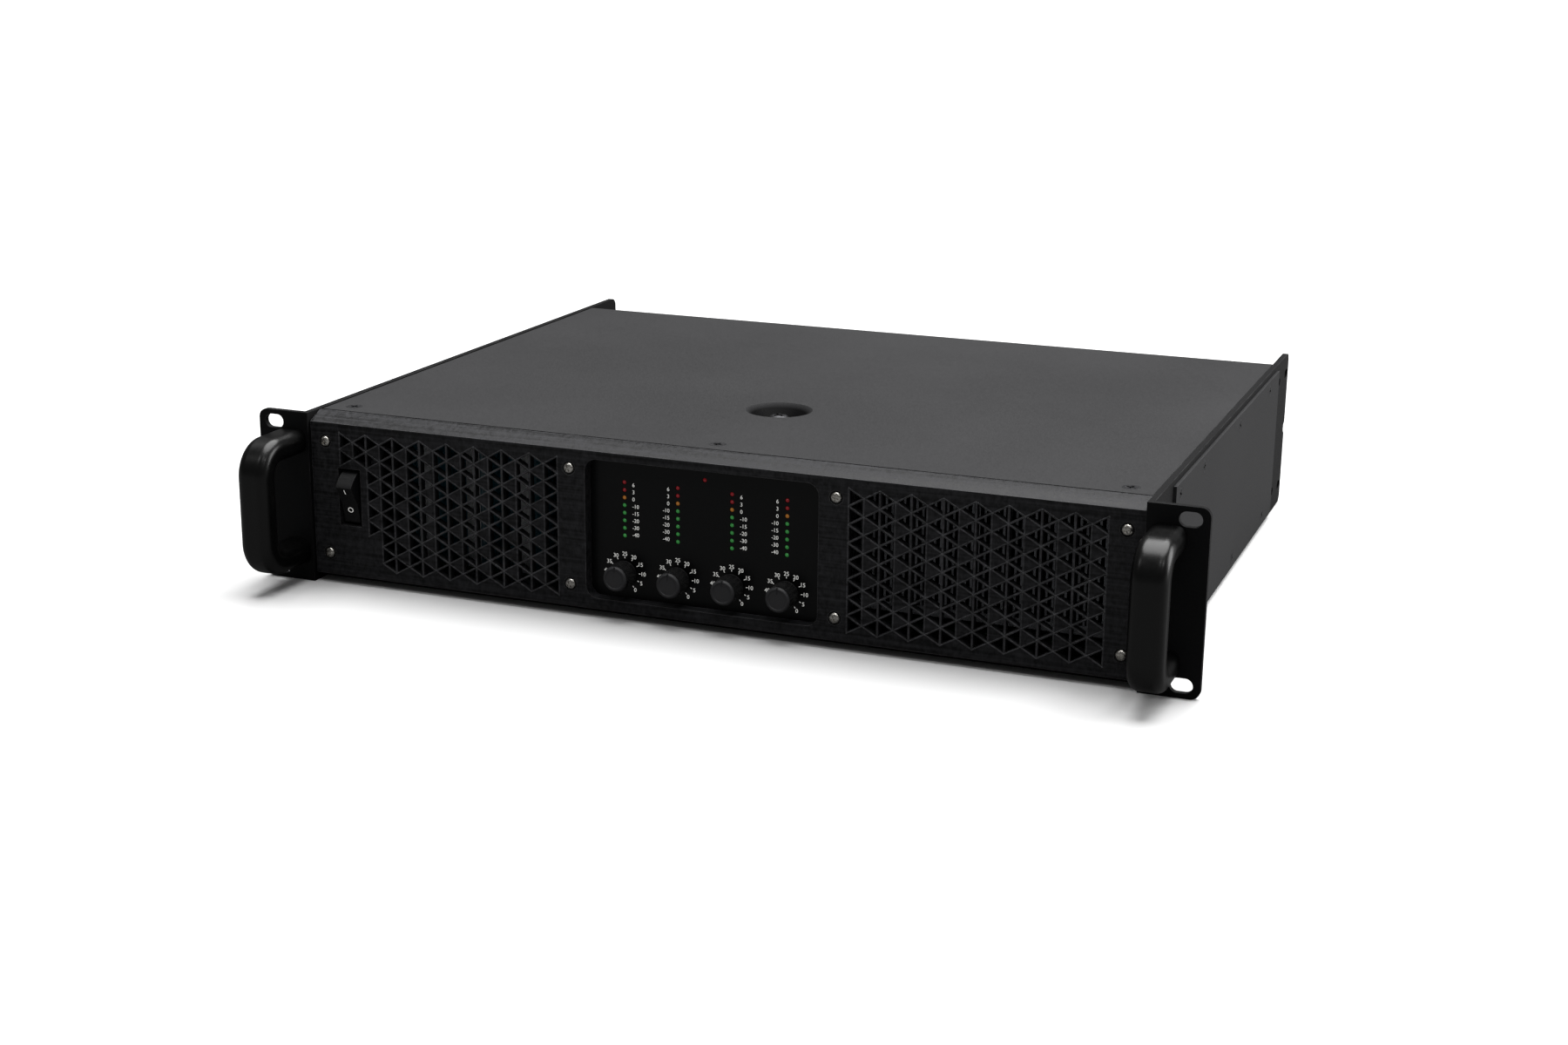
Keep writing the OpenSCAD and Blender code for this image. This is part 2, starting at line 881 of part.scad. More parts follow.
module handle_screws() {
    color("#9a9da1")
        for (s = [-1, 1], t = [-1, 1])
            to_rear(s * handle_x, ear_y + plate_t, mid_z + t * leg_dz)
                pan_screw(4.2, 2.6, handle_screw_r - 0.05, plate_t + 12);
}

module bezel_screws() {
    color("#c9ccd0")
        for (x = bezel_screw_x, z = bezel_screw_z)
            to_front(x, face_y + 0.8, z)
                pan_screw(2.75, 1.9, screw_r, 9);
}

module cover_screws() {
    color("#1a1a1b")
        for (x = cover_screw_x) {
            translate([x, cover_screw_y, cover_z])
                flat_screw(cover_head_r, flat_head_h, screw_r, 7);
            translate([x, cover_screw_y, 0])
                mirror([0, 0, 1])
                    flat_screw(cover_head_r, flat_head_h, screw_r, 7);
        }
}

module centre_screw() {
    color("#2b2b2c")
        translate([0, dimple_y, cover_z - dimple_d])
            pan_screw(5.5, 3, centre_screw_r, 16);
}

module side_screws() {
    color("#2b2b2c")
        for (s = [-1, 1], y = side_screw_y, z = side_screw_z)
            to_side(s, body_x + skin_t, y, z)
                flat_screw(flat_head_r, flat_head_h, screw_r, skin_t + plate_t + sheet_t + 1.5);
}

module rear_panel_screws() {
    color("#1a1a1b")
        for (x = tab_x, z = [tab_z, case_h - tab_z])
            to_rear(x, rear_y, z)
                pan_screw(2.75, 1.9, screw_r, 6);
}

// The two screws of a panel socket, at opposite corners of its flange
module socket_screw_spots() {
    for (s = [-1, 1])
        translate([s * (flange_w / 2 - 3.5), s * (flange_h / 2 - 3.5)])
            children();
}

module socket_screws() {
    color("#1a1a1b") {
        for (x = concat(socket_x, speaker_x), z = [-1, 1], s = [-1, 1])
            to_rear(
                x + s * (flange_w / 2 - 3.5), rear_y + flange_t,
                mid_z + z * socket_dz + s * (flange_h / 2 - 3.5)
            )
                pan_screw(2.6, 1.7, screw_r, 6);
        for (s = [-1, 1])
            to_rear(inlet_x + s * inlet_screw_x, rear_y + flange_t, inlet_z)
                pan_screw(2.6, 1.7, screw_r, 6);
    }
}

module fan_screws() {
    color("#1a1a1b")
        for (s = [-1, 1], a = [-1, 1], b = [-1, 1])
            to_rear(s * fan_x + a * fan_hole, rear_y + 2 * wire_r, mid_z + b * fan_hole)
                pan_screw(3.4, 2, 2, 12);
}

// ---------- Fans ----------

wire_r = 0.9;
fan_shaft_r = 1.5;
fan_hub_r = 16.5;

module fan_frame(s) {
    hub_t = 3;
    color("#1b1b1c")
        translate([s * fan_x, 0, mid_z])
            difference() {
                union() {
                    wall(fan_y, fan_d)
                        difference() {
                            round_rect(fan_w, fan_w, 4);
                            circle(fan_r);
                            for (a = [-1, 1], b = [-1, 1])
                                translate([a * fan_hole, b * fan_hole])
                                    circle(2.15);
                        }
                    wall(rear_in - hub_t, hub_t)
                        union() {
                            circle(fan_hub_r);
                            for (a = [0, 90])
                                rotate(a)
                                    square([2 * fan_r + 1, 4], center = true);
                        }
                    to_front(0, rear_in - hub_t + eps, 0)
                        cylinder(h = fan_d - 12, r = 4);
                }
                to_rear(0, fan_y, 0)
                    cylinder(h = fan_d - 1, r = fan_shaft_r + run_gap);
            }
}

module fan_rotor(s) {
    blades = 7;
    front = 2;
    length = fan_d - 6;
    color("#222223")
        translate([s * fan_x, 0, mid_z])
            union() {
                to_rear(0, fan_y + front, 0)
                    difference() {
                        cylinder(h = length, r = fan_hub_r);
                        translate([0, 0, 2])
                            cylinder(h = length, r = fan_hub_r - 2);
                    }
                to_rear(0, fan_y + front, 0)
                    cylinder(h = fan_d - front - 2, r = fan_shaft_r);
                intersection() {
                    to_rear(0, fan_y + front + 0.5, 0)
                        difference() {
                            cylinder(h = length - 1, r = fan_r - 1.4);
                            translate([0, 0, -1])
                                cylinder(h = length + 2, r = fan_hub_r - 1);
                        }
                    union() {
                        for (i = [0:blades - 1])
                            rotate([0, i * 360 / blades, 0])
                                translate([0, fan_y + front + length / 2, fan_r / 2])
                                    rotate([0, 0, 38])
                                        cube([24, 1.6, fan_r], center = true);
                    }
                }
            }
}

// Flat finger guard: rings on two crossing bars, with an eye at each screw
module fan_guards() {
    eye_r = 4.2;
    color("#a5a8ab")
        for (s = [-1, 1])
            translate([s * fan_x, 0, mid_z])
                wall(rear_y, 2 * wire_r)
                    difference() {
                        union() {
                            for (r = [10:8.8:fan_r])
                                difference() {
                                    circle(r + wire_r);
                                    circle(r - wire_r);
                                }
                            for (a = [45, 135])
                                rotate(a)
                                    square([2 * fan_hole * sqrt(2), 2 * wire_r], center = true);
                            for (a = [-1, 1], b = [-1, 1])
                                translate([a * fan_hole, b * fan_hole])
                                    circle(eye_r);
                        }
                        for (a = [-1, 1], b = [-1, 1])
                            translate([a * fan_hole, b * fan_hole])
                                circle(2.15);
                    }
}

// ---------- Sockets ----------

speaker_r = 12.6;
inlet_w = 30;
inlet_h = 22;
inlet_screw_x = 20;
fuse_r = 6.2;
inlet_body_l = 30;                   // length of the inlet inside the panel

module socket_flange() {
    difference() {
        linear_extrude(flange_t)
            round_rect(flange_w, flange_h, 2.5);
        mirror([0, 1, 0])
            socket_screw_spots()
                translate([0, 0, -1])
                    cylinder(h = flange_t + 2, r = screw_r + 0.1);
    }
}

// A panel socket about its own axis: +Z out of the rear panel, which it passes at z = 0
module panel_socket(r) {
    socket_flange();
    translate([0, 0, -socket_l])
        cylinder(h = socket_l + flange_t / 2, r = r);
}

pin_spots = [[-3.6, 2.2], [3.6, 2.2], [0, -3.8]];

module input_sockets() {
    color("#6b6e72")
        for (x = socket_x)
            to_rear(x, rear_y, mid_z + socket_dz)
                difference() {
                    panel_socket(socket_r);
                    translate([0, 0, flange_t - 0.9])
                        difference() {
                            cylinder(h = 2, r = 9.4);
                            translate([0, 0, -1])
                                cylinder(h = 4, r = 7.6);
                        }
                    for (p = pin_spots)
                        translate([p[0], p[1], -10])
                            cylinder(h = 20, r = 1.4);
                }
}

module link_sockets() {
    cup_r = 8.2;
    cup_d = 13;
    color("#6b6e72")
        for (x = socket_x)
            to_rear(x, rear_y, mid_z - socket_dz)
                union() {
                    difference() {
                        panel_socket(socket_r);
                        translate([0, 0, flange_t - cup_d])
                            cylinder(h = cup_d + 1, r = cup_r);
                    }
                    for (p = pin_spots)
                        translate([p[0], -p[1], flange_t - cup_d - 1])
                            cylinder(h = cup_d - 1, r = 1.2);
                }
}

module speaker_sockets() {
    groove_out = 11.3;
    groove_in = 6;
    groove_d = 17;
    color("#26282b")
        for (x = speaker_x, z = [-1, 1])
            to_rear(x, rear_y, mid_z + z * socket_dz)
                difference() {
                    panel_socket(speaker_r);
                    translate([0, 0, flange_t - groove_d])
                        difference() {
                            cylinder(h = groove_d + 1, r = groove_out);
                            translate([0, 0, -1])
                                cylinder(h = groove_d + 3, r = groove_in);
                        }
                    for (a = [0:90:270])
                        rotate([0, 0, a])
                            translate([groove_in - 1.2, -1, flange_t - groove_d])
                                cube([2, 2, groove_d + 1]);
                    translate([0, 0, flange_t - 5])
                        cylinder(h = 6, r = 3);
                }
}

module mains_inlet() {
    cup = [24.6, 16.8];
    cup_d = 17;
    color("#141415")
        to_rear(inlet_x, rear_y, inlet_z)
            union() {
                difference() {
                    union() {
                        linear_extrude(flange_t)
                            round_rect(2 * inlet_screw_x + 9, inlet_h + 4, 4);
                        translate([-inlet_w / 2, -inlet_h / 2, -inlet_body_l])
                            cube([inlet_w, inlet_h, inlet_body_l + eps]);
                    }
                    translate([0, 0, flange_t - cup_d])
                        linear_extrude(cup_d + 1)
                            square(cup, center = true);
                    for (s = [-1, 1])
                        translate([s * inlet_screw_x, 0, -1])
                            cylinder(h = flange_t + 2, r = screw_r + 0.1);
                }
                for (p = [[-7, -1.4], [7, -1.4], [0, 2.6]])
                    translate([p[0] - 1, p[1] - 2, flange_t - cup_d - 1])
                        cube([2, 4, cup_d - 1]);
            }
}

module fuse_holder() {
    color("#141415")
        to_rear(inlet_x, rear_y, fuse_z)
            difference() {
                union() {
                    translate([0, 0, -32])
                        cylinder(h = 33, r = fuse_r);
                    cylinder(h = 2.4, r = fuse_r + 2);
                    translate([0, 0, 2])
                        cylinder(h = 6, r = fuse_r - 0.4);
                }
                translate([0, 0, 8])
                    cube([8, 1.4, 3], center = true);
            }
}

// ---------- Electronics ----------

module amplifier_board() {
    color("#1d5a34")
        span([board_mid, board_front, board_z], [board_edge, board_rear, board_z + board_t]);
}

module power_board() {
    color("#1d5a34")
        span([-board_edge, board_front, board_z], [-board_mid, board_rear, board_z + board_t]);
}

module input_board() {
    color("#1d5a34")
        span(
            [-2 * socket_dx, rear_y - socket_l - board_t, sub_low + 4],
            [2 * socket_dx, rear_y - socket_l, case_h - sub_low - 4]
        );
}

// Finned block. The base lies flat on the transistors, and the fins stand up along Y.
module fin_block(x0, x1, y0, y1, pitch) {
    n = floor((x1 - x0 - fin_t) / pitch);
    span([x0, y0, sink_z], [x1, y1, sink_z + sink_base]);
    for (i = [0:n])
        span(
            [x0 + i * pitch, y0, sink_z + sink_base - eps],
            [x0 + i * pitch + fin_t, y1, sink_top]
        );
}

module heat_sink() {
    color("#b7babd")
        fin_block(grille_in - 4, board_edge - 2, sink_front, sink_front + sink_l, fin_pitch);
}

cap_r = 12.5;
cap_pitch = 2 * cap_r + 3;
cap_x = switch_x + housing_w / 2 + 5 + cap_r;  // first capacitor, clear of the switch housing
rectifier_x = cap_x + 2 * cap_pitch - 8;

module rectifier_heat_sink() {
    color("#b7babd")
        fin_block(rectifier_x, rectifier_x + 40, sink_front + 44, sink_front + 104, 2 * fin_pitch);
}

// Flat power transistors under the heat sinks, with their legs on the board
module transistor(x, y) {
    body_t = 5;
    base = sink_z - body_t;
    span([x - 8, y - 10, base], [x + 8, y + 10, sink_z]);
    for (i = [-1:1])
        span(
            [x + i * 5 - 0.6, y + 6, board_z + board_t],
            [x + i * 5 + 0.6, y + 7, base + eps]
        );
}

module power_transistors() {
    color("#1a1a1c") {
        for (i = [0:5], j = [0:1])
            transistor(grille_in + 12 + i * 20, sink_front + 24 + j * (sink_l - 48));
        transistor(rectifier_x + 20, sink_front + 74);
    }
}

module filter_capacitors() {
    cap_h = sink_top - board_z - board_t - 8;
    color("#2f6f78")
        for (i = [0:3], j = [0:1])
            translate([
                cap_x + i * cap_pitch, inside_y + cap_r + j * (2 * cap_r + 2),
                board_z + board_t
            ])
                if (!(j == 1 && i > 1))
                    union() {
                        cylinder(h = cap_h, r = cap_r);
                        translate([0, 0, cap_h - eps])
                            cylinder(h = 0.8, r = cap_r - 1.5);
                    }
}

module power_transformers() {
    base = board_z + board_t;
    color("#c9a441")
        for (i = [0:1])
            translate([-board_mid - 46 - i * 66, board_rear - 34, base])
                union() {
                    translate([-26, -20, 0])
                        cube([52, 40, 12]);
                    translate([-20, -26, 12 - eps])
                        cube([40, 52, 26]);
                    translate([-26, -20, 38 - 2 * eps])
                        cube([52, 40, 12]);
                }
}

module output_chokes() {
    color("#b8743a")
        for (i = [0:channels - 1])
            translate([
                board_mid + 22 + i * 38, (sink_front + sink_l + board_rear) / 2, board_z + board_t + 5
            ])
                rotate_extrude()
                    translate([10, 0])
                        circle(5);
}

module board_standoffs() {
    inset = 5;
    color("#c2a85a") {
        for (x = [board_mid + inset, board_edge - inset], y = [board_front + inset, board_rear - inset])
            for (s = [-1, 1])
                translate([s * x, y, sheet_t])
                    cylinder(h = board_z - sheet_t, r = 3);
        for (s = [-1, 1], t = [-1, 1])
            to_rear(s * (knob_pitch * channels / 2 - 1), sub_back, window_mid + t * (window_h / 2 - 4))
                cylinder(h = board_gap, r = 2.4);
    }
}

module centre_pillar() {
    pillar_top = cover_under - dimple_d;
    color("#b7babd")
        difference() {
            translate([0, dimple_y, sheet_t])
                cylinder(h = pillar_top - sheet_t, r = 7, $fn = 6);
            translate([0, dimple_y, pillar_top - 18])
                cylinder(h = 20, r = centre_screw_r + 0.1);
        }
}

// Flat cable from the display board along the floor to the input board
module signal_ribbon() {
    ribbon_w = 13;
    ribbon_t = 1;
    x = 14;
    low = board_z;
    front = display_y + board_t;
    back = rear_y - socket_l - board_t;
    rise = 22;
    color("#9aa0a6")
        union() {
            span([x, front, rise], [x + ribbon_w, front + 6, rise + ribbon_t]);
            span([x, front + 5, low], [x + ribbon_w, front + 6, rise + ribbon_t]);
            span([x, front + 5, low], [x + ribbon_w, back - 5, low + ribbon_t]);
            span([x, back - 6, low], [x + ribbon_w, back - 5, rise + ribbon_t]);
            span([x, back - 6, rise], [x + ribbon_w, back, rise + ribbon_t]);
        }
}

// Bundle of mains wires from the power switch to the inlet, tied where it turns
module mains_harness() {
    r = 2.8;
    tie_r = 3.3;
    bend_l = 30;
    route = [
        [switch_x, housing_back + 8, switch_z],
        [switch_x, fan_y - 8 - bend_l, switch_z],
        [inlet_x, fan_y - 8, inlet_z],
        [inlet_x, rear_y - inlet_body_l, inlet_z]
    ];
    color("#7a2320")
        union() {
            for (i = [0:2]) {
                run = route[i + 1] - route[i];
                translate(route[i])
                    rotate([-90, 0, -atan2(run[0], run[1])])
                        rotate([atan2(run[2], sqrt(run[0] * run[0] + run[1] * run[1])), 0, 0])
                            cylinder(h = norm(run), r = r);
            }
            for (i = [1, 2])
                translate(route[i])
                    sphere(tie_r);
        }
}

bottom_tray();
top_cover();
side_plate_left();
side_plate_right();
side_skin_left();
side_skin_right();
rear_panel();
front_subpanel();
front_bezel();
control_panel();
handle_left();
handle_right();
handle_screws();
bezel_screws();
cover_screws();
centre_screw();
side_screws();
rear_panel_screws();
socket_screws();
fan_screws();
knob(0);  // knob_1
knob(1);  // knob_2
knob(2);  // knob_3
knob(3);  // knob_4
pot_shaft(0);  // pot_shaft_1
pot_shaft(1);  // pot_shaft_2
pot_shaft(2);  // pot_shaft_3
pot_shaft(3);  // pot_shaft_4
gain_pots();
display_board();
red_leds();
amber_leds();
green_leds();
power_led();
switch_housing();
switch_rocker();
amplifier_board();
power_board();
input_board();
heat_sink();
rectifier_heat_sink();
power_transistors();
filter_capacitors();
power_transformers();
output_chokes();
board_standoffs();
centre_pillar();
signal_ribbon();
mains_harness();
mains_inlet();
fuse_holder();
fan_frame(-1);  // fan_frame_left
fan_frame(1);  // fan_frame_right
fan_rotor(-1);  // fan_rotor_left
fan_rotor(1);  // fan_rotor_right
fan_guards();
input_sockets();
link_sockets();
speaker_sockets();
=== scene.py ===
"""Finishes, printed figures and studio for a four-channel rack power amplifier."""

import json
import math

import bmesh
import bpy
from bpy.props import FloatProperty, FloatVectorProperty, IntProperty, PointerProperty
from mathutils import Matrix, Vector
from mathutils.bvhtree import BVHTree


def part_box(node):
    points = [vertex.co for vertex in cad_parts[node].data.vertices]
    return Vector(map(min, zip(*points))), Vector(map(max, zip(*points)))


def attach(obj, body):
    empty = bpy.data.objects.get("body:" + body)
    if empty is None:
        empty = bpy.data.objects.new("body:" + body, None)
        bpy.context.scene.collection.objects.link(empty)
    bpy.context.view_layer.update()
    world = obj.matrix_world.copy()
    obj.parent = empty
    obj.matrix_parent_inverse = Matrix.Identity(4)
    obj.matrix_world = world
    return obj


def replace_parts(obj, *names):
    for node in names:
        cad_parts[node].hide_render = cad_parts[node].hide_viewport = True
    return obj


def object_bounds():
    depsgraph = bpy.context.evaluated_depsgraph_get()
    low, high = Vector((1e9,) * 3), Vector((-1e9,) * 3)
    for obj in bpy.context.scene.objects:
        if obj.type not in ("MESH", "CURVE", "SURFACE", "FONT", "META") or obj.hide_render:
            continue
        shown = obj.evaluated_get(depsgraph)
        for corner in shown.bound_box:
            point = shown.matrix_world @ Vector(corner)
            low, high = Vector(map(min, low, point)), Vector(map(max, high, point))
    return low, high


bl_info = {
    "name": "Rack Amplifier Finishes",
    "version": (1, 0, 0),
    "blender": (4, 5, 0),
    "location": "3D View > Sidebar > Amplifier",
    "description": "Finishes, printed figures and studio for a four-channel rack power amplifier",
    "category": "Object",
}

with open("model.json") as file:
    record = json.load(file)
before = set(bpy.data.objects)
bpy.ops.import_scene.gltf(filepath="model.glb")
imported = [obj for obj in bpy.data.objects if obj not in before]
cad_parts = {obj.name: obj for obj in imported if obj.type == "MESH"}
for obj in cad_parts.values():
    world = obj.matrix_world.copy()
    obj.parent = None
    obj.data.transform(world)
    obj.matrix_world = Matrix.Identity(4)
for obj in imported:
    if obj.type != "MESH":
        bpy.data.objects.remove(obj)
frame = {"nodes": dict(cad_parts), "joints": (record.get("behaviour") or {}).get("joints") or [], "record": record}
bpy.context.view_layer.update()
CAD_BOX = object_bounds()

MM = 0.001
CHANNELS = 4
KNOBS = [f"knob_{k}" for k in range(1, CHANNELS + 1)]
BOWL_RIM = 0.3 * MM  # the bowl's painted shade begins this far below the cover's face
FLOAT, WHOLE, MATERIAL = "NodeSocketFloat", "NodeSocketInt", "NodeSocketMaterial"


def colour(code):
    """Linear RGBA of an sRGB hex value."""
    parts = [int(code[i:i + 2], 16) / 255 for i in (1, 3, 5)]
    return (*[p / 12.92 if p <= 0.04045 else ((p + 0.055) / 1.055) ** 2.4 for p in parts], 1.0)


def shade(rgba, factor):
    """The same colour, darker or lighter by a factor."""
    return (*[min(1.0, part * factor) for part in rgba[:3]], 1.0)


def add_node(tree, kind, inputs=None, **settings):
    """A new node with its settings, and each input either set or linked."""
    node = tree.nodes.new(kind)
    for name, value in settings.items():
        setattr(node, name, value)
    for key, value in (inputs or {}).items():
        if isinstance(value, bpy.types.NodeSocket):
            tree.links.new(value, node.inputs[key])
        else:
            node.inputs[key].default_value = value
    return node


# ---------- Sizes, colours and studio values ----------


def tint(name, code, what):
    """A colour property from an sRGB hex value."""
    return FloatVectorProperty(name=name, description=what, subtype="COLOR", size=4, default=colour(code))


def length(name, millimetres, what):
    """A length property from millimetres."""
    return FloatProperty(name=name, description=what, default=millimetres * MM, unit="LENGTH", precision=5)


class AmplifierColours(bpy.types.PropertyGroup):
    """Colours of the finishes."""

    case: tint("Case", "#101011", "Powder coat of the side plates, tray and rear panel")
    cover: tint("Cover", "#353536", "Powder coat of the top cover and side skins")
    bezel: tint("Bezel", "#28282a", "Textured enamel of the front bezel")
    panel: tint("Control panel", "#060607", "Printed polycarbonate overlay")
    handle: tint("Handles", "#020202", "Gloss enamel of the handles")
    knob: tint("Knobs", "#161617", "Moulded plastic of the knobs")
    knob_face: tint("Knob faces", "#3e3e40", "Spun face of the knobs")
    ink: tint("Ink", "#f2f2ee", "Screen-printed figures")
    red: tint("Red lamps", "#8e1a22", "Epoxy of the two upper lamps of a column")
    amber: tint("Amber lamps", "#b8762e", "Epoxy of the third lamp of a column")
    green: tint("Green lamps", "#3f9c4c", "Epoxy of the lower lamps of a column")


class AmplifierSizes(bpy.types.PropertyGroup):
    """Sizes of the details that the finishes add."""

    sheet_round: length("Sheet edge", 0.25, "Rounding of the edges of bent sheet")
    bezel_round: length("Bezel edge", 0.22, "Rounding of the bezel's edges and ribs")
    small_round: length("Small edge", 0.12, "Rounding of the edges of screws and plastic parts")
    bowl_radius: length("Bowl radius", 18.0, "Half the width of the pressed bowl in the cover")
    figure_height: length("Figure height", 2.0, "Height of the printed figures")
    mark_height: length("Mark height", 2.9, "Height of the power switch's marks")
    ink_height: length("Ink thickness", 0.04, "How far the print stands proud")
    dial_radius: length("Dial radius", 9.7, "Middle of the ring of figures round a knob")
    tick_inner: length("Tick start", 7.4, "Inner end of the dial's ticks")
    tick_length: length("Tick length", 0.9, "Length of the dial's ticks")
    tick_width: length("Tick width", 0.32, "Width of the dial's ticks")
    dial_sweep: FloatProperty(
        name="Dial sweep", description="Angle from the first to the last figure",
        default=math.radians(292), subtype="ANGLE")
    dial_steps: IntProperty(name="Dial steps", description="Steps between the dial's figures", default=10)
    ridges: IntProperty(name="Knob ridges", description="Grip ridges round each knob", default=48)
    ridge_width: length("Ridge width", 0.44, "Width of a grip ridge")
    grille_side: length("Lattice side", 8.8, "Side of the triangles of the grilles")
    grille_start: length("Lattice start", 74.5, "From the middle of the bezel to the first triangle")
    grille_strips: IntProperty(
        name="Lattice strips", description="Strips of triangles of a grille", default=16)
    grille_rows: IntProperty(name="Lattice rows", description="Rows of triangles of a grille", default=8)
    grille_ridge: length("Lattice ridge", 0.32, "Radius of the ridge along each side of a triangle")
    grille_proud: length("Lattice height", 0.2, "How far the ridges stand out of the bezel")
    guard_wire: length("Guard wire", 1.6, "Diameter of the wire of the finger guards")
    guard_rings: IntProperty(name="Guard rings", description="Rings of each finger guard", default=5)


class AmplifierStudio(bpy.types.PropertyGroup):
    """Camera, floor and lights."""

    camera: FloatVectorProperty(
        name="Camera", description="Place of the camera", subtype="TRANSLATION", unit="LENGTH",
        default=(0.4095, -1.1016, 0.345))
    yaw: FloatProperty(name="Yaw", description="Turn of the camera to the left", subtype="ANGLE",
                       default=math.radians(21.23))
    pitch: FloatProperty(name="Pitch", description="Tilt of the camera downwards", subtype="ANGLE",
                         default=math.radians(15.77))
    roll: FloatProperty(name="Roll", description="Turn of the camera about its own axis", subtype="ANGLE",
                        default=math.radians(0.58))
    lens: FloatProperty(name="Lens", description="Focal length in millimetres", default=51.9)
    floor: tint("Floor", "#f4f4f4", "Paper sweep under the amplifier")
    sky: FloatProperty(
        name="Surround", description="Brightness of the dark studio round the sweep", default=0.1)
    bounce: FloatProperty(
        name="Bounce", description="Share of its light that the sweep gives back to the amplifier",
        default=0.14)
    sun: FloatProperty(
        name="Overhead light", description="Strength of the large light overhead", default=4.6)
    side: FloatProperty(
        name="Side light", description="Power of the light beside the right skin", default=36.0)
    front: FloatProperty(name="Front lights", description="Power of each small light in front", default=2.0)


# ---------- Finishes ----------


def start_finish(name):
    """A new material with its Principled shader, its output and Object coordinates."""
    material = bpy.data.materials.new(name)
    material.use_nodes = True
    tree = material.node_tree
    tree.nodes.clear()
    place = add_node(tree, "ShaderNodeTexCoord").outputs["Object"]
    shader = add_node(tree, "ShaderNodeBsdfPrincipled")
    add_node(tree, "ShaderNodeOutputMaterial", {"Surface": shader.outputs["BSDF"]})
    return material, tree, place, shader


def drive(tree, shader, pattern, dark, light, smooth, rough, depth, reach=0.2):
    """One pattern gives a surface its tones, its gloss and its relief. Returns the tone's socket.

    The tones and the gloss run from one end to the other within reach of the pattern's middle value.
    """
    spread = add_node(tree, "ShaderNodeMapRange", {
        "Value": pattern, "From Min": 0.5 - reach, "From Max": 0.5 + reach}).outputs["Result"]
    tone = add_node(tree, "ShaderNodeMix", {0: spread, 6: dark, 7: light}, data_type="RGBA").outputs[2]
    gloss = add_node(tree, "ShaderNodeMapRange", {"Value": spread, "To Min": smooth, "To Max": rough})
    relief = add_node(tree, "ShaderNodeBump", {"Height": pattern, "Strength": 1.0, "Distance": depth})
    tree.links.new(tone, shader.inputs["Base Color"])
    tree.links.new(gloss.outputs["Result"], shader.inputs["Roughness"])
    tree.links.new(relief.outputs["Normal"], shader.inputs["Normal"])
    return tone


def rub_and_highlight_edges(tree, place, shader, tone, wear_highlight_colour, reach, least=0.08, most=0.75):
    """Outside edges are rubbed to a lighter colour, in patches, within reach of the edge: partly real wear, partly
    painted highlight for the light the edges catch.
    """
    rounded = add_node(tree, "ShaderNodeBevel", {"Radius": reach}, samples=4)
    surface = add_node(tree, "ShaderNodeNewGeometry")
    agree = add_node(tree, "ShaderNodeVectorMath",
                     {0: rounded.outputs["Normal"], 1: surface.outputs["Normal"]}, operation="DOT_PRODUCT")
    edge = add_node(tree, "ShaderNodeMapRange", {
        "Value": agree.outputs["Value"], "From Min": 0.995, "From Max": 0.86, "To Min": 0.0, "To Max": 1.0})
    patches = add_node(tree, "ShaderNodeTexNoise", {"Vector": place, "Scale": 1 / (14 * MM), "Detail": 4.0})
    share = add_node(tree, "ShaderNodeMapRange", {
        "Value": patches.outputs[0], "From Min": 0.42, "From Max": 0.68, "To Min": least, "To Max": most})
    mask = add_node(tree, "ShaderNodeMath", {0: edge.outputs[0], 1: share.outputs[0]}, operation="MULTIPLY")
    # Partly real wear, partly painted highlight: the pale edge colour also stands in for light caught along the
    # edges
    wear_and_highlight = add_node(tree, "ShaderNodeMix", {0: mask.outputs[0], 6: tone, 7: wear_highlight_colour}, data_type="RGBA")
    tree.links.new(wear_and_highlight.outputs[2], shader.inputs["Base Color"])


def powder_coat(name, base, specular, grain, depth, rough, wear_highlight_colour, bowl=None):
    """Powder coat baked on sheet steel: a fine orange peel that scatters the light, rubbed at the edges with
    painted highlights.

    The grain is drawn about twice as coarse as the real one, so that it shows. The pressed bowl, given by its
    middle at the level of the sheet and its radius, gets painted shade below that level: the coat there is
    darkened to near black.
    """
    material, tree, place, shader = start_finish(name)
    shader.inputs["Specular IOR Level"].default_value = specular
    peel = add_node(tree, "ShaderNodeTexNoise", {
        "Vector": place, "Scale": 1 / grain, "Detail": 3.0, "Roughness": 0.6})
    cloud = add_node(tree, "ShaderNodeTexNoise", {"Vector": place, "Scale": 1 / (120 * MM), "Detail": 3.0})
    both = add_node(tree, "ShaderNodeMix", {0: 0.3, 2: peel.outputs[0], 3: cloud.outputs[0]})
    tone = drive(tree, shader, both.outputs[0], shade(base, 0.72), shade(base, 1.3),
                 rough - 0.08, rough + 0.1, depth)
    # Painted shade: inside the bowl and below its rim the colour falls to a tenth of the coat's, standing in for
    # the shade in the hollow
    if bowl is not None:
        middle, radius = bowl
        away = add_node(tree, "ShaderNodeVectorMath", {0: place, 1: middle}, operation="DISTANCE")
        height = add_node(tree, "ShaderNodeSeparateXYZ", {0: place}).outputs["Z"]
        inside = add_node(tree, "ShaderNodeMath", {0: away.outputs["Value"], 1: radius},
                          operation="LESS_THAN")
        bowl_shade_depth = add_node(tree, "ShaderNodeMapRange", {
            "Value": height, "From Min": middle[2] - BOWL_RIM, "From Max": middle[2] - 2.2 * MM})
        dark = add_node(tree, "ShaderNodeMath", {0: inside.outputs[0], 1: bowl_shade_depth.outputs[0]},
                        operation="MULTIPLY")
        tone = add_node(tree, "ShaderNodeMix", {0: dark.outputs[0], 6: tone, 7: shade(base, 0.1)},
                        data_type="RGBA").outputs[2]
    rub_and_highlight_edges(tree, place, shader, tone, wear_highlight_colour, 0.45 * MM)
    return material


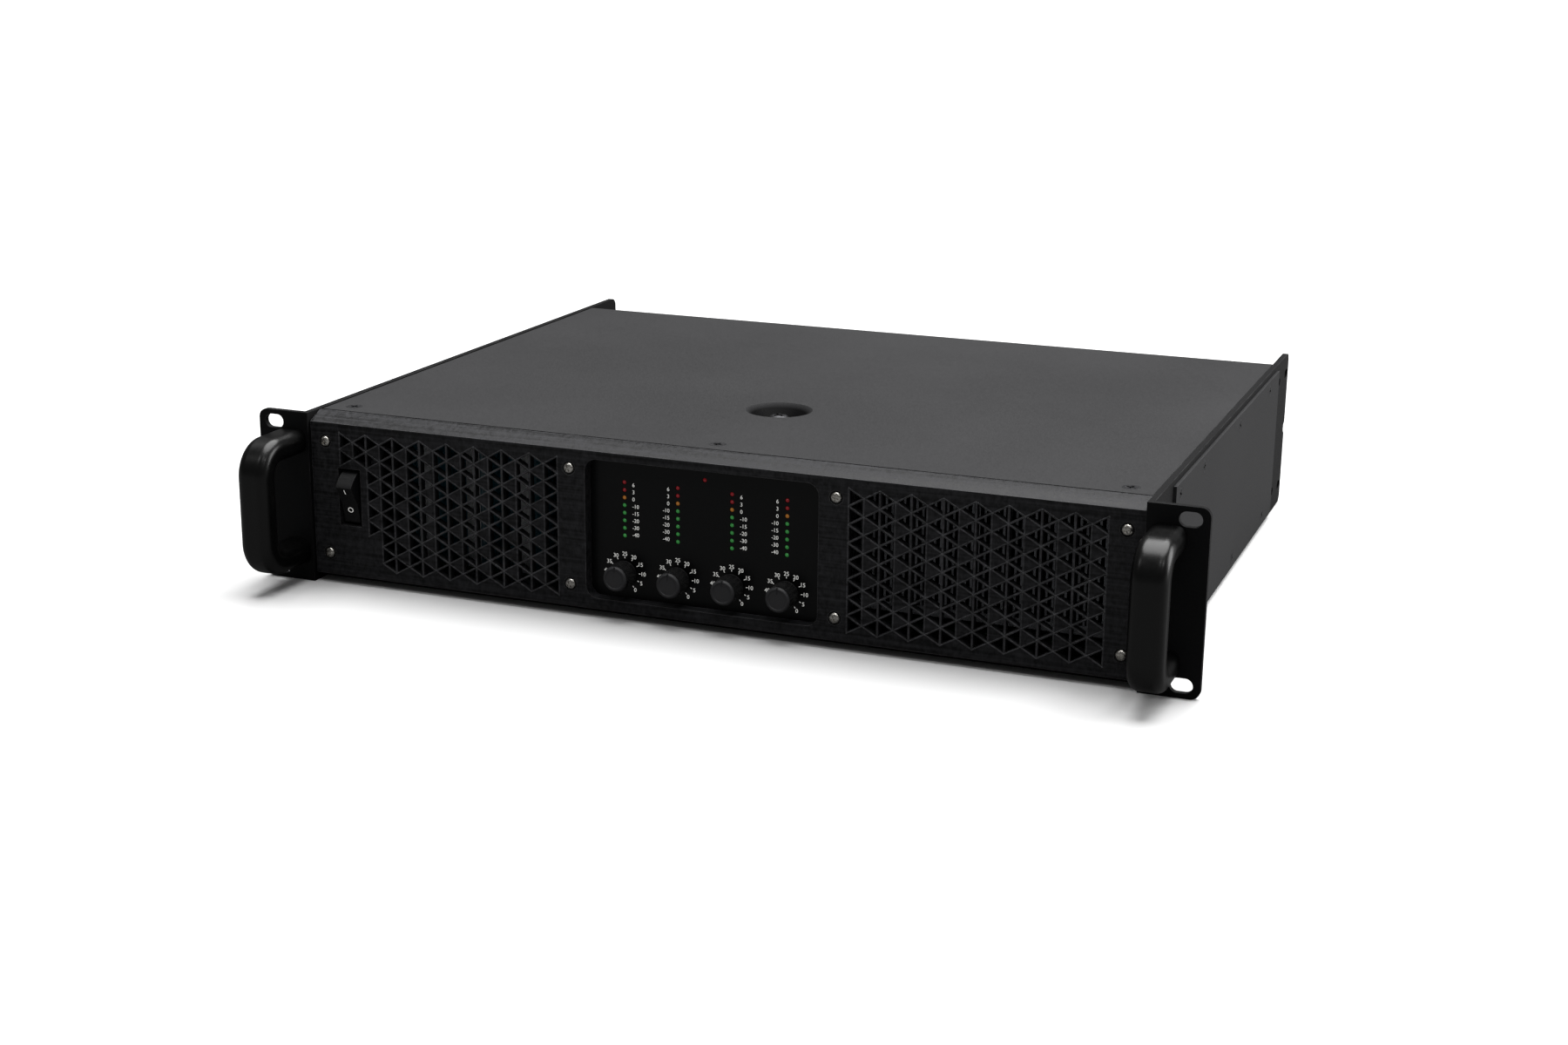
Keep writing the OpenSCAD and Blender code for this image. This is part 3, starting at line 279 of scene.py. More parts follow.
def dimple():
    """The middle, at the level of the sheet, and the radius of the bowl round the centre screw."""
    low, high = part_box("centre_screw")
    middle = ((low.x + high.x) / 2, (low.y + high.y) / 2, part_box("top_cover")[1].z)
    return middle, bpy.context.scene.amplifier_sizes.bowl_radius


def cover_coat(name, specular):
    """The cover's powder coat: a finely pebbled grey, with painted shade that turns it black in the pressed bowl.
    """
    base = bpy.context.scene.amplifier_colours.cover
    # The pale edge colour is wear together with painted highlights along the cover's edges
    return powder_coat(name, base, specular, 0.8 * MM, 0.03 * MM, 0.5, shade(base, 2.2), dimple())


def wrinkle_enamel(name, base):
    """Wrinkle-finish enamel on drawn aluminium: short raised folds over long faint drawing streaks."""
    material, tree, place, shader = start_finish(name)
    shader.inputs["Specular IOR Level"].default_value = 0.2
    drawn = add_node(tree, "ShaderNodeMapping", {"Vector": place, "Scale": (1.0, 0.55, 0.55)})
    folds = add_node(tree, "ShaderNodeTexNoise", {
        "Vector": drawn.outputs[0], "Scale": 1 / (1.7 * MM), "Detail": 5.0, "Roughness": 0.62,
        "Distortion": 0.7})
    pits = add_node(tree, "ShaderNodeTexVoronoi", {"Vector": place, "Scale": 1 / (2.6 * MM)},
                    feature="SMOOTH_F1")
    long_way = add_node(tree, "ShaderNodeMapping", {"Vector": place, "Scale": (0.02, 1.0, 1.0)})
    streaks = add_node(tree, "ShaderNodeTexNoise", {
        "Vector": long_way.outputs[0], "Scale": 1 / (1.4 * MM), "Detail": 3.0})
    grit = add_node(tree, "ShaderNodeMix", {0: 0.3, 2: folds.outputs[0], 3: pits.outputs["Distance"]})
    both = add_node(tree, "ShaderNodeMix", {0: 0.45, 2: grit.outputs[0], 3: streaks.outputs[0]})
    tone = drive(tree, shader, both.outputs[0], shade(base, 0.35), shade(base, 1.8), 0.38, 0.6, 0.14 * MM,
                 reach=0.11)
    # Painted highlight: the pale grey on the ribs' and window's edges stands in for the light they catch, together
    # with real wear
    rub_and_highlight_edges(tree, place, shader, tone, colour("#8a8a8c"), 0.35 * MM, 0.35, 0.95)
    return material


def gloss_enamel(name, base):
    """Stoved gloss enamel on cast aluminium: a smooth film with a faint orange peel and handling haze."""
    material, tree, place, shader = start_finish(name)
    shader.inputs["Specular IOR Level"].default_value = 0.34
    shader.inputs["Coat Weight"].default_value = 0.1
    shader.inputs["Coat Roughness"].default_value = 0.2
    peel = add_node(tree, "ShaderNodeTexNoise", {"Vector": place, "Scale": 1 / (2.2 * MM), "Detail": 2.0})
    haze = add_node(tree, "ShaderNodeTexNoise", {"Vector": place, "Scale": 1 / (26 * MM), "Detail": 5.0})
    both = add_node(tree, "ShaderNodeMix", {0: 0.5, 2: peel.outputs[0], 3: haze.outputs[0]})
    drive(tree, shader, both.outputs[0], shade(base, 0.8), shade(base, 1.3), 0.27, 0.36, 0.006 * MM)
    return material


def moulded_plastic(name, base, grain, depth, smooth, rough, specular=0.4):
    """Thermoplastic moulded against an eroded steel tool: an even fine grain, dull on the flats."""
    material, tree, place, shader = start_finish(name)
    shader.inputs["Specular IOR Level"].default_value = specular
    grit = add_node(tree, "ShaderNodeTexNoise", {"Vector": place, "Scale": 1 / grain, "Detail": 4.0})
    drive(tree, shader, grit.outputs[0], shade(base, 0.8), shade(base, 1.25), smooth, rough, depth)
    return material


def knob_finish():
    """Satin moulded ABS with a spun front: fine rings round the axis catch the light in a thin arc."""
    look = bpy.context.scene.amplifier_colours
    material, tree, place, shader = start_finish("satin_moulded_abs")
    shader.inputs["Specular IOR Level"].default_value = 0.35
    grit = add_node(tree, "ShaderNodeTexNoise", {"Vector": place, "Scale": 1 / (0.8 * MM), "Detail": 4.0})
    radius = add_node(tree, "ShaderNodeAttribute", attribute_name="radius").outputs["Fac"]
    face = add_node(tree, "ShaderNodeAttribute", attribute_name="face").outputs["Fac"]
    turn = add_node(tree, "ShaderNodeMath", {0: radius, 1: 2 * math.pi / (0.55 * MM)}, operation="MULTIPLY")
    rings = add_node(tree, "ShaderNodeMath", {0: turn.outputs[0]}, operation="SINE")
    spun = add_node(tree, "ShaderNodeMapRange", {"Value": rings.outputs[0], "From Min": -1.0})
    pattern = add_node(tree, "ShaderNodeMix", {0: 0.6, 2: grit.outputs[0], 3: spun.outputs[0]})
    either = add_node(tree, "ShaderNodeMix", {0: face, 2: grit.outputs[0], 3: pattern.outputs[0]})
    body = drive(tree, shader, either.outputs[0], shade(look.knob, 0.8), shade(look.knob, 1.25), 0.36, 0.55,
                 0.015 * MM)
    bright = add_node(tree, "ShaderNodeMix", {
        0: pattern.outputs[0], 6: shade(look.knob_face, 0.7), 7: shade(look.knob_face, 1.2)},
        data_type="RGBA")
    both = add_node(tree, "ShaderNodeMix", {0: face, 6: body, 7: bright.outputs[2]}, data_type="RGBA")
    tree.links.new(both.outputs[2], shader.inputs["Base Color"])
    return material


def plated_metal(name, base, streak, smooth, rough, depth):
    """Plated or drawn metal: bright, with fine directional marks where the tool or the polish ran."""
    material, tree, place, shader = start_finish(name)
    shader.inputs["Metallic"].default_value = 1.0
    drawn = add_node(tree, "ShaderNodeMapping", {"Vector": place, "Scale": streak})
    marks = add_node(tree, "ShaderNodeTexNoise", {
        "Vector": drawn.outputs[0], "Scale": 1 / (1.0 * MM), "Detail": 4.0, "Roughness": 0.6})
    drive(tree, shader, marks.outputs[0], shade(base, 0.7), shade(base, 1.15), smooth, rough, depth)
    return material


def galvanised_sheet(name, base):
    """Zinc-plated sheet: broad dull spangles, each with its own tone and gloss."""
    material, tree, place, shader = start_finish(name)
    shader.inputs["Metallic"].default_value = 1.0
    spangle = add_node(tree, "ShaderNodeTexVoronoi", {"Vector": place, "Scale": 1 / (7 * MM)})
    grey = add_node(tree, "ShaderNodeRGBToBW", {0: spangle.outputs["Color"]})
    drive(tree, shader, grey.outputs[0], shade(base, 0.7), shade(base, 1.1), 0.32, 0.5, 0.01 * MM)
    return material


def solder_mask(name, base):
    """Green solder mask over copper tracks on glass-epoxy board: lighter tracks under a wet film."""
    material, tree, place, shader = start_finish(name)
    shader.inputs["Coat Weight"].default_value = 0.4
    tracks = add_node(tree, "ShaderNodeTexBrick", {
        "Vector": place, "Scale": 1 / (9 * MM), "Color1": (1, 1, 1, 1), "Color2": (0.4, 0.4, 0.4, 1),
        "Mortar": (0, 0, 0, 1), "Mortar Size": 0.12})
    grey = add_node(tree, "ShaderNodeRGBToBW", {0: tracks.outputs["Color"]})
    drive(tree, shader, grey.outputs[0], shade(base, 0.5), shade(base, 1.5), 0.3, 0.42, 0.02 * MM)
    return material


def lamp_epoxy(name, base):
    """Diffused epoxy of a lamp: tinted, a little cloudy, glossy dome, faintly glowing within."""
    material, tree, place, shader = start_finish(name)
    shader.inputs["Coat Weight"].default_value = 0.6
    shader.inputs["Coat Roughness"].default_value = 0.08
    shader.inputs["Emission Color"].default_value = base
    shader.inputs["Emission Strength"].default_value = 0.25
    cloud = add_node(tree, "ShaderNodeTexNoise", {"Vector": place, "Scale": 1 / (0.5 * MM), "Detail": 2.0})
    drive(tree, shader, cloud.outputs[0], shade(base, 0.7), shade(base, 1.3), 0.18, 0.34, 0.01 * MM)
    return material


def bands(pitch):
    """The scale of a wave texture whose bands are a pitch apart: it runs 20 radians in a unit."""
    return 2 * math.pi / (20 * pitch)


def shrink_sleeve(name, base, stripe_highlight_colour, first, pitch):
    """Glossy shrink sleeve on capacitor cans in a row along X: a pale negative stripe on the front of each, which
    is also a painted highlight down each can's front.

    The row is given by the first can's place and the pitch of the cans.
    """
    material, tree, place, shader = start_finish(name)
    shader.inputs["Coat Weight"].default_value = 1.0
    shader.inputs["Coat Roughness"].default_value = 0.12
    creases = add_node(tree, "ShaderNodeTexNoise", {"Vector": place, "Scale": 1 / (5 * MM), "Detail": 3.0})
    tone = drive(tree, shader, creases.outputs[0], shade(base, 0.7), shade(base, 1.4), 0.2, 0.36, 0.05 * MM)
    # Partly a real polarity stripe, partly painted highlight: the pale band sits in the middle of each can, where
    # its highlight would fall
    stripe = add_node(tree, "ShaderNodeTexWave", {
        "Vector": place, "Scale": bands(pitch), "Distortion": 0.0,
        "Phase Offset": math.pi * (1 - 2 * first / pitch)}, bands_direction="X")
    edge = add_node(tree, "ShaderNodeMapRange", {
        "Value": stripe.outputs["Fac"], "From Min": 0.8, "From Max": 0.84, "To Min": 0.0, "To Max": 1.0})
    marked = add_node(tree, "ShaderNodeMix", {0: edge.outputs[0], 6: tone, 7: stripe_highlight_colour}, data_type="RGBA")
    tree.links.new(marked.outputs[2], shader.inputs["Base Color"])
    return material


def wound(name, base, turn, metallic):
    """Something wound: turns of wire or tape side by side, each with its own round shoulder."""
    material, tree, place, shader = start_finish(name)
    shader.inputs["Metallic"].default_value = metallic
    shader.inputs["Coat Weight"].default_value = 0.4
    turns = add_node(tree, "ShaderNodeTexWave", {
        "Vector": place, "Scale": bands(turn), "Distortion": 1.2, "Detail": 1.0}, bands_direction="Z")
    drive(tree, shader, turns.outputs["Fac"], shade(base, 0.45), shade(base, 1.2), 0.25, 0.4, 0.2 * MM)
    return material


def ribbed_cable(name, base, pitch):
    """Flat cable of moulded conductors side by side."""
    material, tree, place, shader = start_finish(name)
    ribs = add_node(tree, "ShaderNodeTexWave", {
        "Vector": place, "Scale": bands(pitch), "Distortion": 0.0}, bands_direction="X")
    drive(tree, shader, ribs.outputs["Fac"], shade(base, 0.6), shade(base, 1.1), 0.45, 0.6, 0.2 * MM)
    return material


def screen_ink(name, base):
    """Screen-printed epoxy ink: flat, faintly uneven where the mesh laid it down, and glowing faintly, painted
    light that makes the print read brighter.
    """
    material, tree, place, shader = start_finish(name)
    # Painted light: the ink glows faintly though it is no lamp
    shader.inputs["Emission Color"].default_value = base
    shader.inputs["Emission Strength"].default_value = 0.4
    mesh = add_node(tree, "ShaderNodeTexNoise", {"Vector": place, "Scale": 1 / (0.4 * MM), "Detail": 2.0})
    drive(tree, shader, mesh.outputs[0], shade(base, 0.85), base, 0.5, 0.65, 0.005 * MM)
    return material


def make_finish(slot):
    """The material of one slot of the record."""
    look = bpy.context.scene.amplifier_colours
    even = (1.0, 1.0, 1.0)
    can, can_gap = 12.5 * MM, 3 * MM  # radius of a capacitor and the room between two
    makers = {
        # The last colour is the pale edge colour: edge wear together with painted highlights along the plates'
        # edges
        "case_black": lambda: powder_coat(
            "black_powder_coat", look.case, 0.15, 1.0 * MM, 0.05 * MM, 0.5, colour("#5c5c5e")),
        "cover_grey": lambda: cover_coat("grey_powder_coat", 0.15),
        "bezel_black": lambda: wrinkle_enamel("wrinkle_enamel", look.bezel),
        "panel_black": lambda: moulded_plastic(
            "printed_polycarbonate", look.panel, 0.7 * MM, 0.01 * MM, 0.3, 0.42, 0.25),
        "handle_black": lambda: gloss_enamel("gloss_black_enamel", look.handle),
        "knob_black": knob_finish,
        "screw_nickel": lambda: plated_metal(
            "nickel_plated_steel", colour("#d5d2cb"), (1.0, 1.0, 0.2), 0.2, 0.36, 0.002 * MM),
        "screw_black": lambda: plated_metal(
            "black_oxide_steel", colour("#4a4a4c"), even, 0.34, 0.52, 0.004 * MM),
        "zinc_steel": lambda: galvanised_sheet("zinc_plated_sheet", colour("#8f9296")),
        "component_black": lambda: moulded_plastic(
            "moulded_epoxy", colour("#1c1c1e"), 0.6 * MM, 0.02 * MM, 0.42, 0.6),
        "board_green": lambda: solder_mask("solder_mask", colour("#1f6b3a")),
        "lamp_red": lambda: lamp_epoxy("red_diffused_epoxy", look.red),
        "lamp_amber": lambda: lamp_epoxy("amber_diffused_epoxy", look.amber),
        "lamp_green": lambda: lamp_epoxy("green_diffused_epoxy", look.green),
        "black_plastic": lambda: moulded_plastic(
            "moulded_nylon", colour("#141415"), 0.6 * MM, 0.02 * MM, 0.36, 0.52),
        "fan_plastic": lambda: moulded_plastic(
            "glass_filled_polyester", colour("#1a1a1b"), 1.0 * MM, 0.03 * MM, 0.42, 0.6),
        "heat_sink_metal": lambda: plated_metal(
            "extruded_aluminium", colour("#a9acb0"), (1.0, 0.02, 1.0), 0.3, 0.5, 0.03 * MM),
        "capacitor_sleeve": lambda: shrink_sleeve(
            "shrink_sleeve", colour("#2d6c7e"), colour("#e2e6e8"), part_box("filter_capacitors")[0].x + can,
            2 * can + can_gap),
        "transformer_tape": lambda: wound("polyester_tape", colour("#c79a2a"), 12.0 * MM, 0.0),
        "copper_wire": lambda: wound("enamelled_copper_wire", colour("#b5683a"), 1.8 * MM, 0.7),
        "brass": lambda: plated_metal("turned_brass", colour("#c6a35a"), even, 0.2, 0.36, 0.01 * MM),
        "cable_grey": lambda: ribbed_cable("grey_flat_cable", colour("#8b8e93"), 1.27 * MM),
        "cable_red": lambda: moulded_plastic(
            "red_wire_sheath", colour("#8c1f22"), 1.5 * MM, 0.02 * MM, 0.36, 0.48),
        "socket_nickel": lambda: plated_metal(
            "satin_nickel_on_zinc", colour("#8d9094"), even, 0.28, 0.42, 0.01 * MM),
        "guard_nickel": lambda: plated_metal(
            "bright_nickel_wire", colour("#b9bbbd"), even, 0.14, 0.26, 0.01 * MM),
    }
    return makers[slot]()


def finish(slot):
    """The material of a slot, made the first time it is asked for."""
    key = f"slot_{slot}"
    made = bpy.context.scene.get(key)
    if made is None:
        made = make_finish(slot)
        bpy.context.scene[key] = made
    return made


def slot_of(node):
    """The record's material slot of a CAD node."""
    return next(part["material_slot"] for part in frame["record"]["subparts"] if part["node"] == node)


def body_of(node):
    """The body that a CAD node belongs to."""
    bodies = frame["record"]["behaviour"]["bodies"]
    return next(body for body, nodes in bodies.items() if node in nodes)


def dress(*nodes):
    """CAD nodes keep their shape and get the finish of their slot."""
    for node in nodes:
        frame["nodes"][node].material_slots[0].material = finish(slot_of(node))


# ---------- Shapes ----------


def new_object(name, data):
    """An object in the scene, at the origin."""
    made = bpy.data.objects.new(name, data)
    bpy.context.scene.collection.objects.link(made)
    return made


def place_piece(name, mesh, body):
    """A finished piece at the origin that rides on a body."""
    mesh.name = name
    piece = new_object(name, mesh)
    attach(piece, body)
    return piece


def mesh_of(shape, name):
    """The mesh of a bmesh, which is freed."""
    mesh = bpy.data.meshes.new(name)
    shape.to_mesh(mesh)
    shape.free()
    return mesh


def evaluated_mesh(holder):
    """The plain mesh of an object with its modifiers applied. The object is removed."""
    graph = bpy.context.evaluated_depsgraph_get()
    mesh = bpy.data.meshes.new_from_object(holder.evaluated_get(graph), depsgraph=graph)
    bpy.data.objects.remove(holder)
    return mesh


def turned(profile, steps):
    """A closed body of revolution about Y from (radius, y) points that start and end on the axis."""
    shape = bmesh.new()
    points = [shape.verts.new((radius, y, 0)) for radius, y in profile]
    edges = [shape.edges.new(pair) for pair in zip(points, points[1:])]
    bmesh.ops.spin(shape, geom=points + edges, cent=(0, 0, 0), axis=(0, 1, 0), angle=2 * math.pi,
                   steps=steps, use_duplicate=False)
    bmesh.ops.remove_doubles(shape, verts=shape.verts, dist=0.001 * MM)
    bmesh.ops.recalc_face_normals(shape, faces=shape.faces)
    return shape


def box_mesh(low, high):
    """A box between two corners."""
    shape = bmesh.new()
    size = Vector(high) - Vector(low)
    middle = (Vector(high) + Vector(low)) / 2
    bmesh.ops.create_cube(shape, size=1.0, matrix=Matrix.Translation(middle) @ Matrix.Diagonal((*size, 1)))
    return mesh_of(shape, "box")


def carve(mesh, cutters):
    """The mesh less its cutters, edges sharp where it turns by more than 30 degrees."""
    holder = new_object("carved", mesh)
    tools = []
    for cutter in cutters:
        tool = new_object("cutter", cutter)
        cut = holder.modifiers.new("Cut", "BOOLEAN")
        cut.object = tool
        cut.solver = "EXACT"
        tools.append(tool)
    carved = evaluated_mesh(holder)
    for tool in tools:
        bpy.data.objects.remove(tool)
    shape = bmesh.new()
    shape.from_mesh(carved)
    for face in shape.faces:
        face.smooth = True
    for edge in shape.edges:
        edge.smooth = edge.is_manifold and edge.calc_face_angle() < math.radians(30)
    shape.to_mesh(carved)
    shape.free()
    return carved


def welded(node):
    """A CAD node's loose triangles as one merged shape."""
    shape = bmesh.new()
    shape.from_mesh(frame["nodes"][node].data)
    bmesh.ops.remove_doubles(shape, verts=shape.verts, dist=0.002 * MM)
    return shape


def round_edges(node, width, segments=2):
    """A merged copy of a CAD node with rounded edges stands for the node."""
    flat, sharp = math.radians(0.3), math.radians(28)
    shape = welded(node)
    bmesh.ops.dissolve_limit(shape, angle_limit=flat, verts=shape.verts, edges=shape.edges)
    mesh = mesh_of(shape, node)
    mesh.materials.append(finish(slot_of(node)))
    if "custom_normal" in mesh.attributes:
        mesh.attributes.remove(mesh.attributes["custom_normal"])
    mesh.shade_smooth()
    holder = new_object(node + "_holder", mesh)
    bevel = holder.modifiers.new("Rounded edges", "BEVEL")
    bevel.width = width
    bevel.segments = segments
    bevel.limit_method = "ANGLE"
    bevel.angle_limit = sharp
    bevel.harden_normals = True
    piece = place_piece(node + "_finished", evaluated_mesh(holder), body_of(node))
    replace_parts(piece, node)
    return piece


def figures(text, height, thickness, align="CENTER"):
    """Plain figures as a mesh: upright in X and Z, printed side towards -Y, middle height at the origin."""
    curve = bpy.data.curves.new("figures", "FONT")
    curve.body = text
    curve.size = height / 0.7  # a figure fills 0.7 of the font's size
    curve.align_x = align
    curve.resolution_u = 3
    curve.extrude = thickness / 2
    mesh = evaluated_mesh(new_object("figures", curve))
    mesh.transform(Matrix.Rotation(math.pi / 2, 4, "X") @ Matrix.Translation((0, -height / 2, 0)))
    return mesh


def join_print(name, marks, body):
    """One piece of ink from marks, each a mesh and the matrix that places it."""
    whole = bmesh.new()
    for mesh, matrix in marks:
        mesh.transform(matrix)
        whole.from_mesh(mesh)
    bmesh.ops.remove_doubles(whole, verts=whole.verts, dist=0.0005 * MM)
    bmesh.ops.recalc_face_normals(whole, faces=whole.faces)
    mesh = mesh_of(whole, name)
    mesh.materials.clear()
    mesh.materials.append(ink())
    return place_piece(name, mesh, body)


def ink():
    """The white ink, made once."""
    return bpy.data.materials.get("screen_ink") or screen_ink(
        "screen_ink", bpy.context.scene.amplifier_colours.ink)


def surface_spot(node, start, direction):
    """Where a straight line from start first meets a CAD node, and the surface's normal there."""
    shape = welded(node)
    spot, normal, _, _ = BVHTree.FromBMesh(shape).ray_cast(Vector(start), Vector(direction))
    shape.free()
    if spot is None:
        raise RuntimeError(f"no surface of {node} in that direction")
    return spot, normal


def start_tree(name, inputs):
    """A geometry node tree with named inputs. Returns the tree and the inputs' sockets by name."""
    tree = bpy.data.node_groups.new(name, "GeometryNodeTree")
    tree.interface.new_socket("Geometry", in_out="INPUT", socket_type="NodeSocketGeometry")
    for label, kind in inputs:
        tree.interface.new_socket(label, in_out="INPUT", socket_type=kind)
    tree.interface.new_socket("Geometry", in_out="OUTPUT", socket_type="NodeSocketGeometry")
    return tree, add_node(tree, "NodeGroupInput").outputs


def end_tree(tree, geometry, material):
    """Realizes the instances, sets the material and ends the tree."""
    real = add_node(tree, "GeometryNodeRealizeInstances", {"Geometry": geometry})
    coloured = add_node(tree, "GeometryNodeSetMaterial", {
        "Geometry": real.outputs["Geometry"], "Material": material})
    add_node(tree, "NodeGroupOutput", {"Geometry": coloured.outputs["Geometry"]})


def grow(tree, values, points=(), lines=()):
    """The plain mesh that a tree makes from these values of its named inputs, on these points and lines."""
    seeds = bpy.data.meshes.new("grown")
    seeds.from_pydata(points, lines, [])
    holder = new_object("grown", seeds)
    modifier = holder.modifiers.new("Shape", "NODES")
    modifier.node_group = tree
    for item in tree.interface.items_tree:
        if item.item_type == "SOCKET" and item.in_out == "INPUT" and item.name in values:
            modifier[item.identifier] = values[item.name]
    return evaluated_mesh(holder)


def islands(node):
    """The box of each separate solid of a CAD node."""
    shape = welded(node)
    left, boxes = set(shape.verts), []
    while left:
        group = [left.pop()]
        for vert in group:
            fresh = {edge.other_vert(vert) for edge in vert.link_edges} & left
            left -= fresh
            group.extend(fresh)
        boxes.append(tuple(Vector(pick(v.co[k] for v in group) for k in range(3)) for pick in (min, max)))
    shape.free()
    return boxes


def screw_mesh(radius, height, shank, length, flush):
    """A screw along Z with its head's seat or flat at the origin and a cross recess in the head.

    Sizes are in millimetres.
    """
    tip, land = 0.4, 0.08
    if flush:
        head = [(0, 0), (radius - 0.05, 0), (radius, -land), (shank, -height)]
    else:
        head = [(0, height), (radius * 0.45, height * 0.97), (radius * 0.75, height * 0.82),
                (radius * 0.93, height * 0.55), (radius, height * 0.25), (radius, 0), (shank, 0)]
    profile = head + [(shank, tip - length), (shank - tip, -length), (0, -length)]
    body = turned([(r * MM, z * MM) for r, z in profile], 28)
    bmesh.ops.rotate(body, verts=body.verts, matrix=Matrix.Rotation(math.pi / 2, 3, "X"))
    top = 0.0 if flush else height
    arm, width, deep = radius * 0.56, radius * 0.13, min(height, 1.2) * 0.62
    cutters = []
    for along, across in ((arm, width), (width, arm)):
        cutters.append(box_mesh((-along * MM, -across * MM, (top - deep) * MM),
                                (along * MM, across * MM, (top + 1) * MM)))
    return carve(mesh_of(body, "screw"), cutters)


def screw_tree():
    """A screw at each point, along the point's axis, each turned by its own angle."""
    tree, given = start_tree("screws", [
        ("Screw", "NodeSocketObject"), ("Lean", "NodeSocketVector"), ("Seed", WHOLE), ("Finish", MATERIAL)])
    screw = add_node(tree, "GeometryNodeObjectInfo", {"Object": given["Screw"]})
    placed = add_node(tree, "GeometryNodeInstanceOnPoints", {
        "Points": given["Geometry"], "Instance": screw.outputs["Geometry"], "Rotation": given["Lean"]})
    turn = add_node(tree, "FunctionNodeRandomValue", {
        "Max": (0, 0, 2 * math.pi), "Seed": given["Seed"]}, data_type="FLOAT_VECTOR")
    turned_each = add_node(tree, "GeometryNodeRotateInstances", {
        "Instances": placed.outputs["Instances"], "Rotation": turn.outputs[0], "Local Space": True})
    end_tree(tree, turned_each.outputs["Instances"], given["Finish"])
    return tree


def tick_tree():
    """Ticks on an arc about Y, once for each dial in a row along X."""
    tree, given = start_tree("dial_ticks", [
        ("Ticks", WHOLE), ("Sweep", FLOAT), ("Inner Radius", FLOAT), ("Length", FLOAT), ("Width", FLOAT),
        ("Thickness", FLOAT), ("Dials", WHOLE), ("Pitch", FLOAT), ("Finish", MATERIAL)])
    size = add_node(tree, "ShaderNodeCombineXYZ", {
        "X": given["Width"], "Y": given["Thickness"], "Z": given["Length"]})
    tick = add_node(tree, "GeometryNodeMeshCube", {"Size": size.outputs[0]})
    half = add_node(tree, "ShaderNodeMath", {0: given["Length"], 1: 0.5, 2: given["Inner Radius"]},
                    operation="MULTIPLY_ADD")
    out = add_node(tree, "ShaderNodeCombineXYZ", {"Z": half.outputs[0]})
    raised = add_node(tree, "GeometryNodeTransform", {
        "Geometry": tick.outputs["Mesh"], "Translation": out.outputs[0]})
    steps = add_node(tree, "ShaderNodeMath", {0: given["Ticks"], 1: 1.0}, operation="SUBTRACT")
    share = add_node(tree, "ShaderNodeMath", {
        0: add_node(tree, "GeometryNodeInputIndex").outputs[0], 1: steps.outputs[0]}, operation="DIVIDE")
    centred = add_node(tree, "ShaderNodeMath", {0: share.outputs[0], 1: 0.5}, operation="SUBTRACT")
    angle = add_node(tree, "ShaderNodeMath", {0: centred.outputs[0], 1: given["Sweep"]},
                     operation="MULTIPLY")
    turn = add_node(tree, "ShaderNodeCombineXYZ", {"Y": angle.outputs[0]})
    ring_points = add_node(tree, "GeometryNodeMeshLine", {"Count": given["Ticks"], "Offset": (0, 0, 0)})
    ring = add_node(tree, "GeometryNodeInstanceOnPoints", {
        "Points": ring_points.outputs["Mesh"], "Instance": raised.outputs["Geometry"],
        "Rotation": turn.outputs[0]})
    pitch = add_node(tree, "ShaderNodeCombineXYZ", {"X": given["Pitch"]})
    dial_points = add_node(tree, "GeometryNodeMeshLine", {
        "Count": given["Dials"], "Offset": pitch.outputs[0]})
    dials = add_node(tree, "GeometryNodeInstanceOnPoints", {
        "Points": dial_points.outputs["Mesh"], "Instance": ring.outputs["Instances"]})
    end_tree(tree, dials.outputs["Instances"], given["Finish"])
    return tree


def ridge_lines():
    """Points and lines of the triangle lattice: every side of every open triangle, once."""
    sizes = bpy.context.scene.amplifier_sizes
    side, strips, rows = sizes.grille_side, sizes.grille_strips, sizes.grille_rows
    width = side * math.sqrt(3) / 2
    low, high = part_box("front_bezel")
    foot = (low.z + high.z) / 2 - rows * side / 2
    switch_mid = (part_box("switch_housing")[0].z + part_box("switch_housing")[1].z) / 2
    field_top, field_foot = switch_mid + 14.8 * MM, switch_mid - 18 * MM  # plain field round the switch
    depth = low.y + sizes.grille_ridge - sizes.grille_proud
    points, numbers, lines = [], {}, set()

    def corner(x, z):
        key = (round(x / MM, 3), round(z / MM, 3))
        if key not in numbers:
            numbers[key] = len(points)
            points.append((x, depth, z))
        return numbers[key]

    for hand in (-1, 1):
        for strip in range(strips):
            even = strip % 2 == 0
            flat = hand * (sizes.grille_start + (strip if even else strip + 1) * width)
            tip = hand * (sizes.grille_start + (strip + 1 if even else strip) * width)
            for row in range(rows):
                z = foot + row * side
                by_switch = strip >= strips - 2 and z + side / 4 < field_top
                under_switch = strip == strips - 3 and z + side / 4 < field_foot
                if hand < 0 and (by_switch or under_switch):
                    continue
                shapes = [((flat, z), (flat, z + side), (tip, z + side / 2))]
                if even and row < rows - 1:
                    shapes.append(((tip, z + side / 2), (tip, z + side * 1.5), (flat, z + side)))
                for shape in shapes:
                    ends = [corner(*spot) for spot in shape]
                    lines.update(tuple(sorted((ends[k - 1], ends[k]))) for k in range(3))
    return points, sorted(lines)


